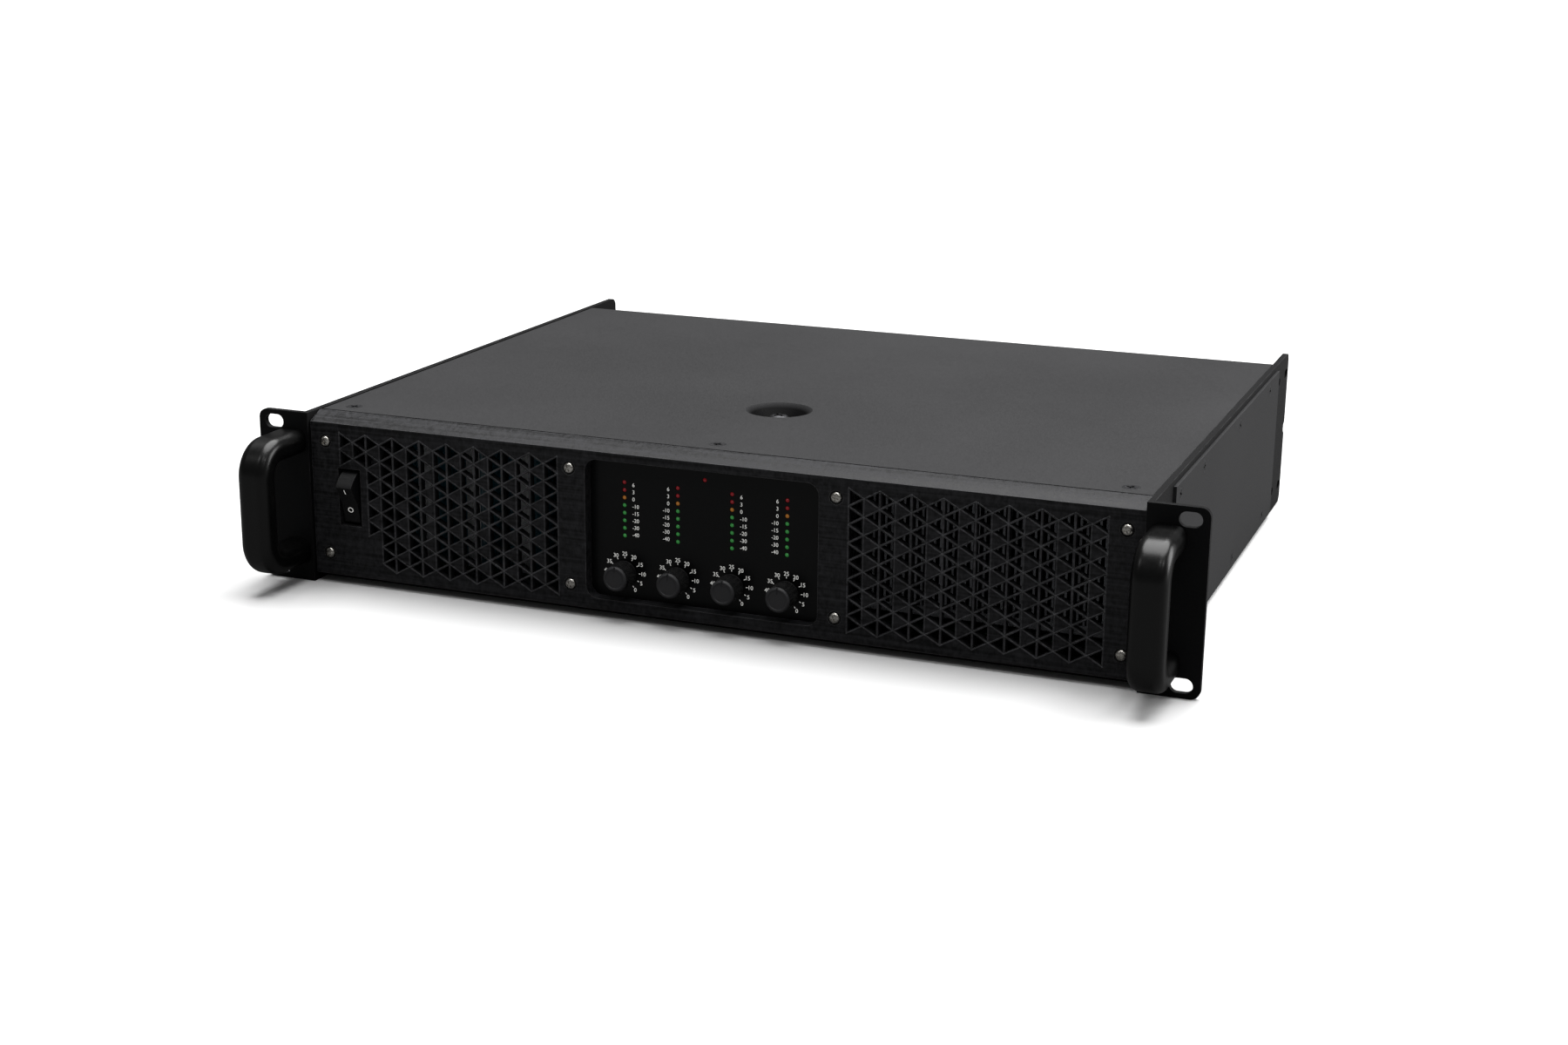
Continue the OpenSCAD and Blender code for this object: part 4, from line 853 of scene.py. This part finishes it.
def lattice_tree():
    """A round ridge along every line."""
    tree, given = start_tree("lattice", [("Radius", FLOAT), ("Finish", MATERIAL)])
    apart = add_node(tree, "GeometryNodeSplitEdges", {"Mesh": given["Geometry"]})
    paths = add_node(tree, "GeometryNodeMeshToCurve", {"Mesh": apart.outputs["Mesh"]})
    ring = add_node(tree, "GeometryNodeCurvePrimitiveCircle", {"Resolution": 8, "Radius": given["Radius"]})
    solid = add_node(tree, "GeometryNodeCurveToMesh", {
        "Curve": paths.outputs["Curve"], "Profile Curve": ring.outputs["Curve"], "Fill Caps": True})
    end_tree(tree, solid.outputs["Mesh"], given["Finish"])
    return tree


def knob_mesh(node):
    """A knob: chamfered rim, dished front with a pointer notch, and the bore for its shaft."""
    low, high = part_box(node)
    shaft_low, shaft_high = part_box(node.replace("knob", "pot_shaft"))
    fit = 0.05
    radius = (high.x - low.x) / 2 / MM
    length = (high.y - low.y) / MM
    bore = (shaft_high.z - shaft_low.z) / 2 / MM + fit
    depth = (shaft_low.y - low.y) / MM - fit
    dish, skirt = 0.3, 0.15  # how deep the face is dished, and how far the skirt stands in
    profile = [
        (0, dish), (radius - 1.9, dish), (radius - 1.6, 0), (radius - 0.95, 0), (radius - 0.3, 0.65),
        (radius - skirt, 0.9), (radius - skirt, length - 0.7), (radius, length - 0.55), (radius, length),
        (bore, length), (bore, depth), (0, depth)]
    body = mesh_of(turned([(r * MM, y * MM) for r, y in profile], 72), node)
    half, reach, cut = 0.4, 3.6, 0.6  # the pointer notch: half its width, its length and its depth
    notch = box_mesh(Vector((-half, -1, radius - reach)) * MM, Vector((half, cut, radius + 1)) * MM)
    mesh = carve(body, [notch])
    for name, values in (
            ("radius", [math.hypot(v.co.x, v.co.z) for v in mesh.vertices]),
            ("face", [1.0 if v.co.y < 0.7 * MM else 0.0 for v in mesh.vertices])):
        mesh.attributes.new(name, "FLOAT", "POINT").data.foreach_set("value", values)
    mesh.materials.append(finish("knob_black"))
    mesh.transform(Matrix.Translation(((low.x + high.x) / 2, low.y, (low.z + high.z) / 2)))
    return mesh


def ridge_tree():
    """Grip ridges along Y, evenly round a circle."""
    tree, given = start_tree("grip_ridges", [
        ("Count", WHOLE), ("Radius", FLOAT), ("Width", FLOAT), ("Length", FLOAT), ("Finish", MATERIAL)])
    half = add_node(tree, "ShaderNodeMath", {0: given["Width"], 1: 0.5}, operation="MULTIPLY")
    bar = add_node(tree, "GeometryNodeMeshCylinder", {
        "Vertices": 8, "Radius": half.outputs[0], "Depth": given["Length"]})
    ring = add_node(tree, "GeometryNodeMeshCircle", {"Vertices": given["Count"], "Radius": given["Radius"]})
    bars = add_node(tree, "GeometryNodeInstanceOnPoints", {
        "Points": ring.outputs["Mesh"], "Instance": bar.outputs["Mesh"]})
    laid = add_node(tree, "GeometryNodeTransform", {
        "Geometry": bars.outputs["Instances"], "Rotation": (math.pi / 2, 0, 0)})
    end_tree(tree, laid.outputs["Geometry"], given["Finish"])
    return tree


def guard_tree():
    """Wire finger guard in X and Z: rings on two crossed wires that end in a screw eye at each corner."""
    tree, given = start_tree("finger_guard", [
        ("Rings", WHOLE), ("Inner Radius", FLOAT), ("Outer Radius", FLOAT), ("Wire", FLOAT),
        ("Hole Spacing", FLOAT), ("Eye Radius", FLOAT), ("Finish", MATERIAL)])
    wire = add_node(tree, "ShaderNodeMath", {0: given["Wire"], 1: 0.5}, operation="MULTIPLY")
    section = add_node(tree, "GeometryNodeCurvePrimitiveCircle", {
        "Resolution": 10, "Radius": wire.outputs[0]})
    steps = add_node(tree, "ShaderNodeMath", {0: given["Rings"], 1: 1.0}, operation="SUBTRACT")
    share = add_node(tree, "ShaderNodeMath", {
        0: add_node(tree, "GeometryNodeInputIndex").outputs[0], 1: steps.outputs[0]}, operation="DIVIDE")
    radius = add_node(tree, "ShaderNodeMapRange", {
        "Value": share.outputs[0], "To Min": given["Inner Radius"], "To Max": given["Outer Radius"]})
    circle = add_node(tree, "GeometryNodeCurvePrimitiveCircle", {"Resolution": 72, "Radius": 1.0})
    ring_points = add_node(tree, "GeometryNodeMeshLine", {"Count": given["Rings"], "Offset": (0, 0, 0)})
    rings = add_node(tree, "GeometryNodeInstanceOnPoints", {
        "Points": ring_points.outputs["Mesh"], "Instance": circle.outputs["Curve"],
        "Scale": radius.outputs["Result"]})
    lift = add_node(tree, "ShaderNodeCombineXYZ", {"Z": given["Wire"]})
    lifted = add_node(tree, "GeometryNodeTransform", {
        "Geometry": rings.outputs["Instances"], "Translation": lift.outputs[0]})
    corners = add_node(tree, "GeometryNodeMeshGrid", {
        "Size X": given["Hole Spacing"], "Size Y": given["Hole Spacing"], "Vertices X": 2, "Vertices Y": 2})
    eye = add_node(tree, "GeometryNodeCurvePrimitiveCircle", {
        "Resolution": 28, "Radius": given["Eye Radius"]})
    eyes = add_node(tree, "GeometryNodeInstanceOnPoints", {
        "Points": corners.outputs["Mesh"], "Instance": eye.outputs["Curve"]})
    reach = add_node(tree, "ShaderNodeMath", {0: given["Hole Spacing"], 1: math.sqrt(0.5)},
                     operation="MULTIPLY")
    end = add_node(tree, "ShaderNodeMath", {0: reach.outputs[0], 1: given["Eye Radius"]},
                   operation="SUBTRACT")
    right = add_node(tree, "ShaderNodeCombineXYZ", {"X": end.outputs[0]})
    left = add_node(tree, "ShaderNodeVectorMath", {0: right.outputs[0], "Scale": -1.0}, operation="SCALE")
    bar = add_node(tree, "GeometryNodeCurvePrimitiveLine", {
        "Start": left.outputs[0], "End": right.outputs[0]})
    bars = add_node(tree, "GeometryNodeJoinGeometry")
    for turn in (math.pi / 4, -math.pi / 4):
        crossed = add_node(tree, "GeometryNodeTransform", {
            "Geometry": bar.outputs["Curve"], "Rotation": (0, 0, turn)})
        tree.links.new(crossed.outputs["Geometry"], bars.inputs["Geometry"])
    wires = add_node(tree, "GeometryNodeJoinGeometry")
    for part in (lifted.outputs["Geometry"], eyes.outputs["Instances"], bars.outputs["Geometry"]):
        tree.links.new(part, wires.inputs["Geometry"])
    loose = add_node(tree, "GeometryNodeRealizeInstances", {"Geometry": wires.outputs["Geometry"]})
    solid = add_node(tree, "GeometryNodeCurveToMesh", {
        "Curve": loose.outputs["Geometry"], "Profile Curve": section.outputs["Curve"], "Fill Caps": True})
    upright = add_node(tree, "GeometryNodeTransform", {
        "Geometry": solid.outputs["Mesh"], "Rotation": (-math.pi / 2, 0, 0)})
    smooth = add_node(tree, "GeometryNodeSetShadeSmooth", {"Geometry": upright.outputs["Geometry"]})
    end_tree(tree, smooth.outputs["Geometry"], given["Finish"])
    return tree


# ---------- Operators ----------


class AMPLIFIER_OT_case(bpy.types.Operator):
    """Finish the tray, cover, side plates, skins and panels of the case"""

    bl_idname = "amplifier.case"
    bl_label = "Case"

    def execute(self, context):
        width = context.scene.amplifier_sizes.sheet_round
        for node in ("bottom_tray", "top_cover", "side_plate_left", "side_plate_right", "side_skin_left",
                     "side_skin_right", "rear_panel"):
            round_edges(node, width)
        self.paint_bowl_shade(bpy.data.objects["top_cover_finished"].data)
        dress("front_subpanel")
        return {"FINISHED"}

    def paint_bowl_shade(self, cover):
        """Gives the faces of the pressed bowl a copy of the coat with painted shade: darkened and without sheen.
        """
        middle, radius = dimple()
        # Painted shade: the bowl's own copy of the coat, dark and with almost no sheen
        cover.materials.append(cover_coat("grey_powder_coat_in_bowl", 0.02))
        for face in cover.polygons:
            away = face.center - Vector(middle)
            if away.z < -BOWL_RIM and away.length < radius:
                face.material_index = 1


class AMPLIFIER_OT_bezel(bpy.types.Operator):
    """Finish the bezel with its grilles, and the control panel"""

    bl_idname = "amplifier.bezel"
    bl_label = "Bezel"

    def execute(self, context):
        sizes = context.scene.amplifier_sizes
        round_edges("front_bezel", sizes.bezel_round)
        points, lines = ridge_lines()
        # Painted highlight: the ridges' enamel is 2.6 times as light as the bezel's, standing in for light caught
        # along the grille's ribs
        wear_and_highlight = wrinkle_enamel("worn_ridge_enamel", shade(context.scene.amplifier_colours.bezel, 2.6))
        ridges = grow(lattice_tree(), {"Radius": sizes.grille_ridge, "Finish": wear_and_highlight}, points, lines)
        place_piece("grille_ridges", ridges, body_of("front_bezel"))
        dress("control_panel")
        return {"FINISHED"}


class AMPLIFIER_OT_handles(bpy.types.Operator):
    """Finish the two handles"""

    bl_idname = "amplifier.handles"
    bl_label = "Handles"

    def execute(self, context):
        dress("handle_left", "handle_right")
        return {"FINISHED"}


class AMPLIFIER_OT_knobs(bpy.types.Operator):
    """Finish the knobs and give each its grip ridges"""

    bl_idname = "amplifier.knobs"
    bl_label = "Knobs"

    def execute(self, context):
        sizes = context.scene.amplifier_sizes
        tree = ridge_tree()
        front_bare, back_bare = 1.3 * MM, 0.8 * MM
        for node in KNOBS:
            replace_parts(place_piece(node + "_turned", knob_mesh(node), body_of(node)), node)
            low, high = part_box(node)
            middle = (low + high) / 2
            ridge_length = high.y - low.y - front_bare - back_bare
            mesh = grow(tree, {
                "Count": sizes.ridges, "Radius": (high.x - low.x) / 2 - sizes.ridge_width / 2,
                "Width": sizes.ridge_width, "Length": ridge_length, "Finish": finish("knob_black")})
            start = low.y + front_bare + ridge_length / 2
            mesh.transform(Matrix.Translation((middle.x, start, middle.z)))
            place_piece(node + "_ridges", mesh, body_of(node))
            dress(node.replace("knob", "pot_shaft"))
        dress("gain_pots")
        return {"FINISHED"}


class AMPLIFIER_OT_power_switch(bpy.types.Operator):
    """Finish the power switch and print its two marks"""

    bl_idname = "amplifier.power_switch"
    bl_label = "Power Switch"

    def execute(self, context):
        sizes = context.scene.amplifier_sizes
        round_edges("switch_rocker", sizes.small_round * 2, 3)
        dress("switch_housing")
        pivot = next(joint for joint in frame["joints"] if joint["child"] == "power_rocker")["pos_m"]
        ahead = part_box("switch_rocker")[0].y - 10 * MM
        reach, drop = 5.2 * MM, 1.2 * MM  # from the axle to a mark, and how far both stand lower
        marks = []
        for side, text in ((1, "I"), (-1, "O")):
            start = (pivot[0], ahead, pivot[2] + side * reach - drop)
            spot, normal = surface_spot("switch_rocker", start, (0, 1, 0))
            tilt = math.atan2(normal.z, -normal.y)
            stand = Matrix.Translation(spot) @ Matrix.Rotation(-tilt, 4, "X")
            marks.append((figures(text, sizes.mark_height, 2 * sizes.ink_height), stand))
        join_print("switch_marks", marks, "power_rocker")
        return {"FINISHED"}


class AMPLIFIER_OT_lamps(bpy.types.Operator):
    """Finish the lamps"""

    bl_idname = "amplifier.lamps"
    bl_label = "Lamps"

    def execute(self, context):
        dress("red_leds", "amber_leds", "green_leds", "power_led", "display_board")
        return {"FINISHED"}


class AMPLIFIER_OT_panel_print(bpy.types.Operator):
    """Print the dials and the level scales on the control panel"""

    bl_idname = "amplifier.panel_print"
    bl_label = "Panel Print"

    def execute(self, context):
        sizes = context.scene.amplifier_sizes
        knobs = [(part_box(node)[0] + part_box(node)[1]) / 2 for node in KNOBS]
        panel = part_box("control_panel")[0].y
        ink_y = panel - sizes.ink_height / 2
        thick = sizes.ink_height * 1.5
        pitch = knobs[1].x - knobs[0].x
        ticks = grow(tick_tree(), {
            "Ticks": sizes.dial_steps + 1, "Sweep": sizes.dial_sweep, "Inner Radius": sizes.tick_inner,
            "Length": sizes.tick_length, "Width": sizes.tick_width, "Thickness": thick,
            "Dials": CHANNELS, "Pitch": pitch, "Finish": ink()})
        marks = [(ticks, Matrix.Translation((knobs[0].x, ink_y, knobs[0].z)))]
        for knob in knobs:
            for step in range(sizes.dial_steps + 1):
                angle = sizes.dial_sweep * (step / sizes.dial_steps - 0.5)
                spot = (knob.x + sizes.dial_radius * math.sin(angle), ink_y,
                        knob.z + sizes.dial_radius * math.cos(angle))
                value = str(5 * (sizes.dial_steps - step))
                marks.append((figures(value, sizes.figure_height, thick), Matrix.Translation(spot)))
        join_print("dial_print", marks, "chassis")

        levels = ("6", "3", "0", "-10", "-15", "-20", "-30", "-40")
        red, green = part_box("red_leds"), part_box("green_leds")
        half_pitch = (red[1].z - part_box("amber_leds")[1].z) / 4
        top, bottom = red[1].z - half_pitch, green[0].z + half_pitch
        aside = 4.2 * MM  # from a column's lamps to its figures
        marks = []
        for column, knob in enumerate(knobs):
            side, align = (1, "LEFT") if column % 2 == 0 else (-1, "RIGHT")
            for row, value in enumerate(levels):
                z = top + (bottom - top) * row / (len(levels) - 1)
                marks.append((figures(value, sizes.figure_height * 0.95, thick, align),
                              Matrix.Translation((knob.x + side * aside, ink_y, z))))
        join_print("level_print", marks, "chassis")
        return {"FINISHED"}


# Each screw node, in millimetres: the head's height, the shank's radius, the length under the head's
# seat or flat, and whether the head is flush
SCREWS = {
    "bezel_screws": (1.9, 1.5, 9.0, False), "centre_screw": (3.0, 2.4, 16.0, False),
    "cover_screws": (1.5, 1.5, 7.0, True), "side_screws": (1.5, 1.5, 7.5, True),
    "rear_panel_screws": (1.9, 1.5, 6.0, False), "socket_screws": (1.7, 1.5, 6.0, False),
    "fan_screws": (2.0, 2.0, 12.0, False),
}


class AMPLIFIER_OT_screws(bpy.types.Operator):
    """Turn every screw with its cross recess, and set each at its own angle"""

    bl_idname = "amplifier.screws"
    bl_label = "Screws"

    def execute(self, context):
        tree = screw_tree()
        middle = (Vector(CAD_BOX[0]) + Vector(CAD_BOX[1])) / 2
        for seed, (node, (height, shank, length, flush)) in enumerate(SCREWS.items()):
            ways = {}
            for low, high in islands(node):
                centre, size = (low + high) / 2, high - low
                axis = min(range(3), key=lambda k: abs(size[k - 1] - size[k - 2]))
                side = 1 if centre[axis] > middle[axis] else -1
                across = [size[k] for k in range(3) if k != axis]
                seat = centre.copy()
                outer = high[axis] if side > 0 else low[axis]
                seat[axis] = outer if flush else outer - side * height * MM
                ways.setdefault((axis, side), []).append((seat, max(across) / 2))
            whole = bmesh.new()
            for (axis, side), spots in ways.items():
                lean = {0: (0, side * math.pi / 2, 0), 1: (-side * math.pi / 2, 0, 0),
                        2: (0 if side > 0 else math.pi, 0, 0)}[axis]
                mesh = screw_mesh(spots[0][1] / MM, height, shank, length, flush)
                screw = new_object("screw", mesh)
                grown = grow(tree, {
                    "Screw": screw, "Lean": lean, "Seed": seed, "Finish": finish(slot_of(node))},
                    [spot for spot, _ in spots])
                bpy.data.objects.remove(screw)
                whole.from_mesh(grown)
            mesh = mesh_of(whole, node)
            mesh.materials.append(finish(slot_of(node)))
            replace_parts(place_piece(node + "_turned", mesh, body_of(node)), node)
        dress("handle_screws")
        return {"FINISHED"}


class AMPLIFIER_OT_sockets(bpy.types.Operator):
    """Finish the sockets, inlet and fuse holder of the rear panel, and number the channels"""

    bl_idname = "amplifier.sockets"
    bl_label = "Sockets"

    def execute(self, context):
        sizes = context.scene.amplifier_sizes
        for node in ("input_sockets", "link_sockets", "speaker_sockets", "mains_inlet", "fuse_holder"):
            round_edges(node, sizes.small_round)
        low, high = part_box("input_sockets")
        flange = 26 * MM  # width of a socket
        pitch = (high.x - low.x - flange) / (CHANNELS - 1)
        middle = (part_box("link_sockets")[1].z + low.z) / 2
        height = 2.56 * MM
        turn = Matrix.Rotation(math.pi, 4, "Z")
        marks = []
        for channel in range(CHANNELS):
            x = high.x - flange / 2 - channel * pitch
            spot, _ = surface_spot("rear_panel", (x - flange * 0.6, high.y + 20 * MM, middle), (0, -1, 0))
            spot = Vector((x, spot.y + sizes.ink_height / 2, middle))
            marks.append((figures(str(channel + 1), height, sizes.ink_height * 1.5),
                          Matrix.Translation(spot) @ turn))
        join_print("channel_print", marks, "chassis")
        return {"FINISHED"}


class AMPLIFIER_OT_fans(bpy.types.Operator):
    """Finish the fans and bend their finger guards from wire"""

    bl_idname = "amplifier.fans"
    bl_label = "Fans"

    def execute(self, context):
        sizes = context.scene.amplifier_sizes
        for side in ("left", "right"):
            dress("fan_frame_" + side, "fan_rotor_" + side)
        low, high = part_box("fan_guards")
        eye_reach = 4.2 * MM  # from a screw to the guard's edge
        eye_radius = eye_reach - 1.1 * MM
        inner_ring, rim = 7 * MM, 3.6 * MM
        tree = guard_tree()
        guards = bmesh.new()
        for side in ("left", "right"):
            fan_low, fan_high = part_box("fan_frame_" + side)
            middle = (fan_low + fan_high) / 2
            spacing = high.z - low.z - 2 * eye_reach
            mesh = grow(tree, {
                "Rings": sizes.guard_rings, "Inner Radius": inner_ring,
                "Outer Radius": (fan_high.z - fan_low.z) / 2 - rim, "Wire": sizes.guard_wire,
                "Hole Spacing": spacing, "Eye Radius": eye_radius,
                "Finish": finish("guard_nickel")})
            mesh.transform(Matrix.Translation((middle.x, low.y + sizes.guard_wire / 2, middle.z)))
            guards.from_mesh(mesh)
        wires = mesh_of(guards, "fan_guard_wires")
        wires.materials.append(finish("guard_nickel"))
        piece = place_piece("fan_guard_wires", wires, body_of("fan_guards"))
        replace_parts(piece, "fan_guards")
        return {"FINISHED"}


class AMPLIFIER_OT_electronics(bpy.types.Operator):
    """Finish the boards, heat sinks and other parts inside the case"""

    bl_idname = "amplifier.electronics"
    bl_label = "Electronics"

    def execute(self, context):
        dress("amplifier_board", "power_board", "input_board", "heat_sink", "rectifier_heat_sink",
              "power_transistors", "filter_capacitors", "power_transformers", "output_chokes",
              "board_standoffs", "centre_pillar", "signal_ribbon", "mains_harness")
        return {"FINISHED"}


class AMPLIFIER_OT_studio(bpy.types.Operator):
    """Lay the floor, hang the lights and set up the camera"""

    bl_idname = "amplifier.studio"
    bl_label = "Studio"

    def execute(self, context):
        studio = context.scene.amplifier_studio
        paper, tree, place, shader = start_finish("seamless_paper")
        fibre = add_node(tree, "ShaderNodeTexNoise", {
            "Vector": place, "Scale": 1 / (60 * MM), "Detail": 4.0})
        shader.inputs["Specular IOR Level"].default_value = 0.1
        paper_tone = drive(tree, shader, fibre.outputs[0], shade(studio.floor, 0.98), studio.floor,
                           0.8, 0.9, 0.01 * MM)
        seen = add_node(tree, "ShaderNodeLightPath").outputs["Is Camera Ray"]
        held_back = add_node(tree, "ShaderNodeMix", {
            0: seen, 6: shade(studio.floor, studio.bounce), 7: paper_tone}, data_type="RGBA")
        tree.links.new(held_back.outputs[2], shader.inputs["Base Color"])
        shape = bmesh.new()
        bmesh.ops.create_grid(shape, x_segments=4, y_segments=4, size=30.0)
        sheet = mesh_of(shape, "floor")
        sheet.materials.append(paper)
        floor = new_object("floor", sheet)
        floor.location.z = -0.2 * MM  # clear of the tray

        world = bpy.data.worlds.new("studio")
        world.use_nodes = True
        background = world.node_tree.nodes["Background"]
        background.inputs["Color"].default_value = colour("#ffffff")
        seen = add_node(world.node_tree, "ShaderNodeLightPath").outputs["Is Camera Ray"]
        strength = add_node(world.node_tree, "ShaderNodeMix", {0: seen, 2: studio.sky, 3: 1.0})
        world.node_tree.links.new(strength.outputs[0], background.inputs["Strength"])
        context.scene.world = world

        overhead = bpy.data.lights.new("overhead_light", "SUN")
        overhead.energy = studio.sun
        overhead.angle = math.radians(60)
        self.hang(overhead, (0.1, 0.6, 2.0), (0, 0, 0))
        for name, spot, power, size in (
                ("side_softbox", (2.2, 0.9, 0.8), studio.side, 1.4),
                ("left_softbox", (-0.9, -1.2, 1.5), studio.front, 0.4),
                ("right_softbox", (1.3, -1.0, 1.5), studio.front, 0.3),
                ("centre_softbox", (0.5, -1.3, 1.8), studio.front, 0.3)):
            light = bpy.data.lights.new(name, "AREA")
            light.energy = power
            light.size = size
            self.hang(light, spot, (0, -0.15, 0.05))

        lens = bpy.data.cameras.new("camera")
        lens.lens = studio.lens
        lens.sensor_width = 36.0
        camera = new_object("camera", lens)
        camera.location = studio.camera
        camera.rotation_mode = "XYZ"
        camera.matrix_world = (
            Matrix.Translation(studio.camera) @ Matrix.Rotation(studio.yaw, 4, "Z")
            @ Matrix.Rotation(math.pi / 2 - studio.pitch, 4, "X") @ Matrix.Rotation(studio.roll, 4, "Z"))
        context.scene.camera = camera
        context.scene.view_settings.view_transform = "Standard"
        return {"FINISHED"}

    def hang(self, light, spot, target):
        """Hangs a light at a spot, pointing at a target."""
        lamp = new_object(light.name, light)
        lamp.location = spot
        lamp.rotation_euler = (Vector(target) - Vector(spot)).to_track_quat("-Z", "Y").to_euler()


STEPS = (
    AMPLIFIER_OT_case, AMPLIFIER_OT_bezel, AMPLIFIER_OT_handles, AMPLIFIER_OT_knobs,
    AMPLIFIER_OT_power_switch, AMPLIFIER_OT_lamps, AMPLIFIER_OT_panel_print, AMPLIFIER_OT_screws,
    AMPLIFIER_OT_sockets, AMPLIFIER_OT_fans, AMPLIFIER_OT_electronics, AMPLIFIER_OT_studio,
)
GROUPS = {
    "amplifier_colours": AmplifierColours, "amplifier_sizes": AmplifierSizes,
    "amplifier_studio": AmplifierStudio,
}


class AMPLIFIER_PT_sidebar(bpy.types.Panel):
    """Buttons and values for the amplifier's finishes."""

    bl_idname = "AMPLIFIER_PT_sidebar"
    bl_label = "Rack Amplifier"
    bl_space_type = "VIEW_3D"
    bl_region_type = "UI"
    bl_category = "Amplifier"

    def draw(self, context):
        for step in STEPS:
            self.layout.operator(step.bl_idname)
        for name, group in GROUPS.items():
            box = self.layout.box()
            for value in group.__annotations__:
                box.prop(getattr(context.scene, name), value)


def register():
    for group in GROUPS.values():
        bpy.utils.register_class(group)
    for name, group in GROUPS.items():
        setattr(bpy.types.Scene, name, PointerProperty(type=group))
    for step in (*STEPS, AMPLIFIER_PT_sidebar):
        bpy.utils.register_class(step)


def unregister():
    for step in (AMPLIFIER_PT_sidebar, *reversed(STEPS)):
        bpy.utils.unregister_class(step)
    for name, group in GROUPS.items():
        delattr(bpy.types.Scene, name)
        bpy.utils.unregister_class(group)


def main():
    register()
    for step in STEPS:
        getattr(bpy.ops.amplifier, step.bl_idname.split(".")[1])()
    bpy.context.view_layer.update()


if __name__ == "__main__":
    main()
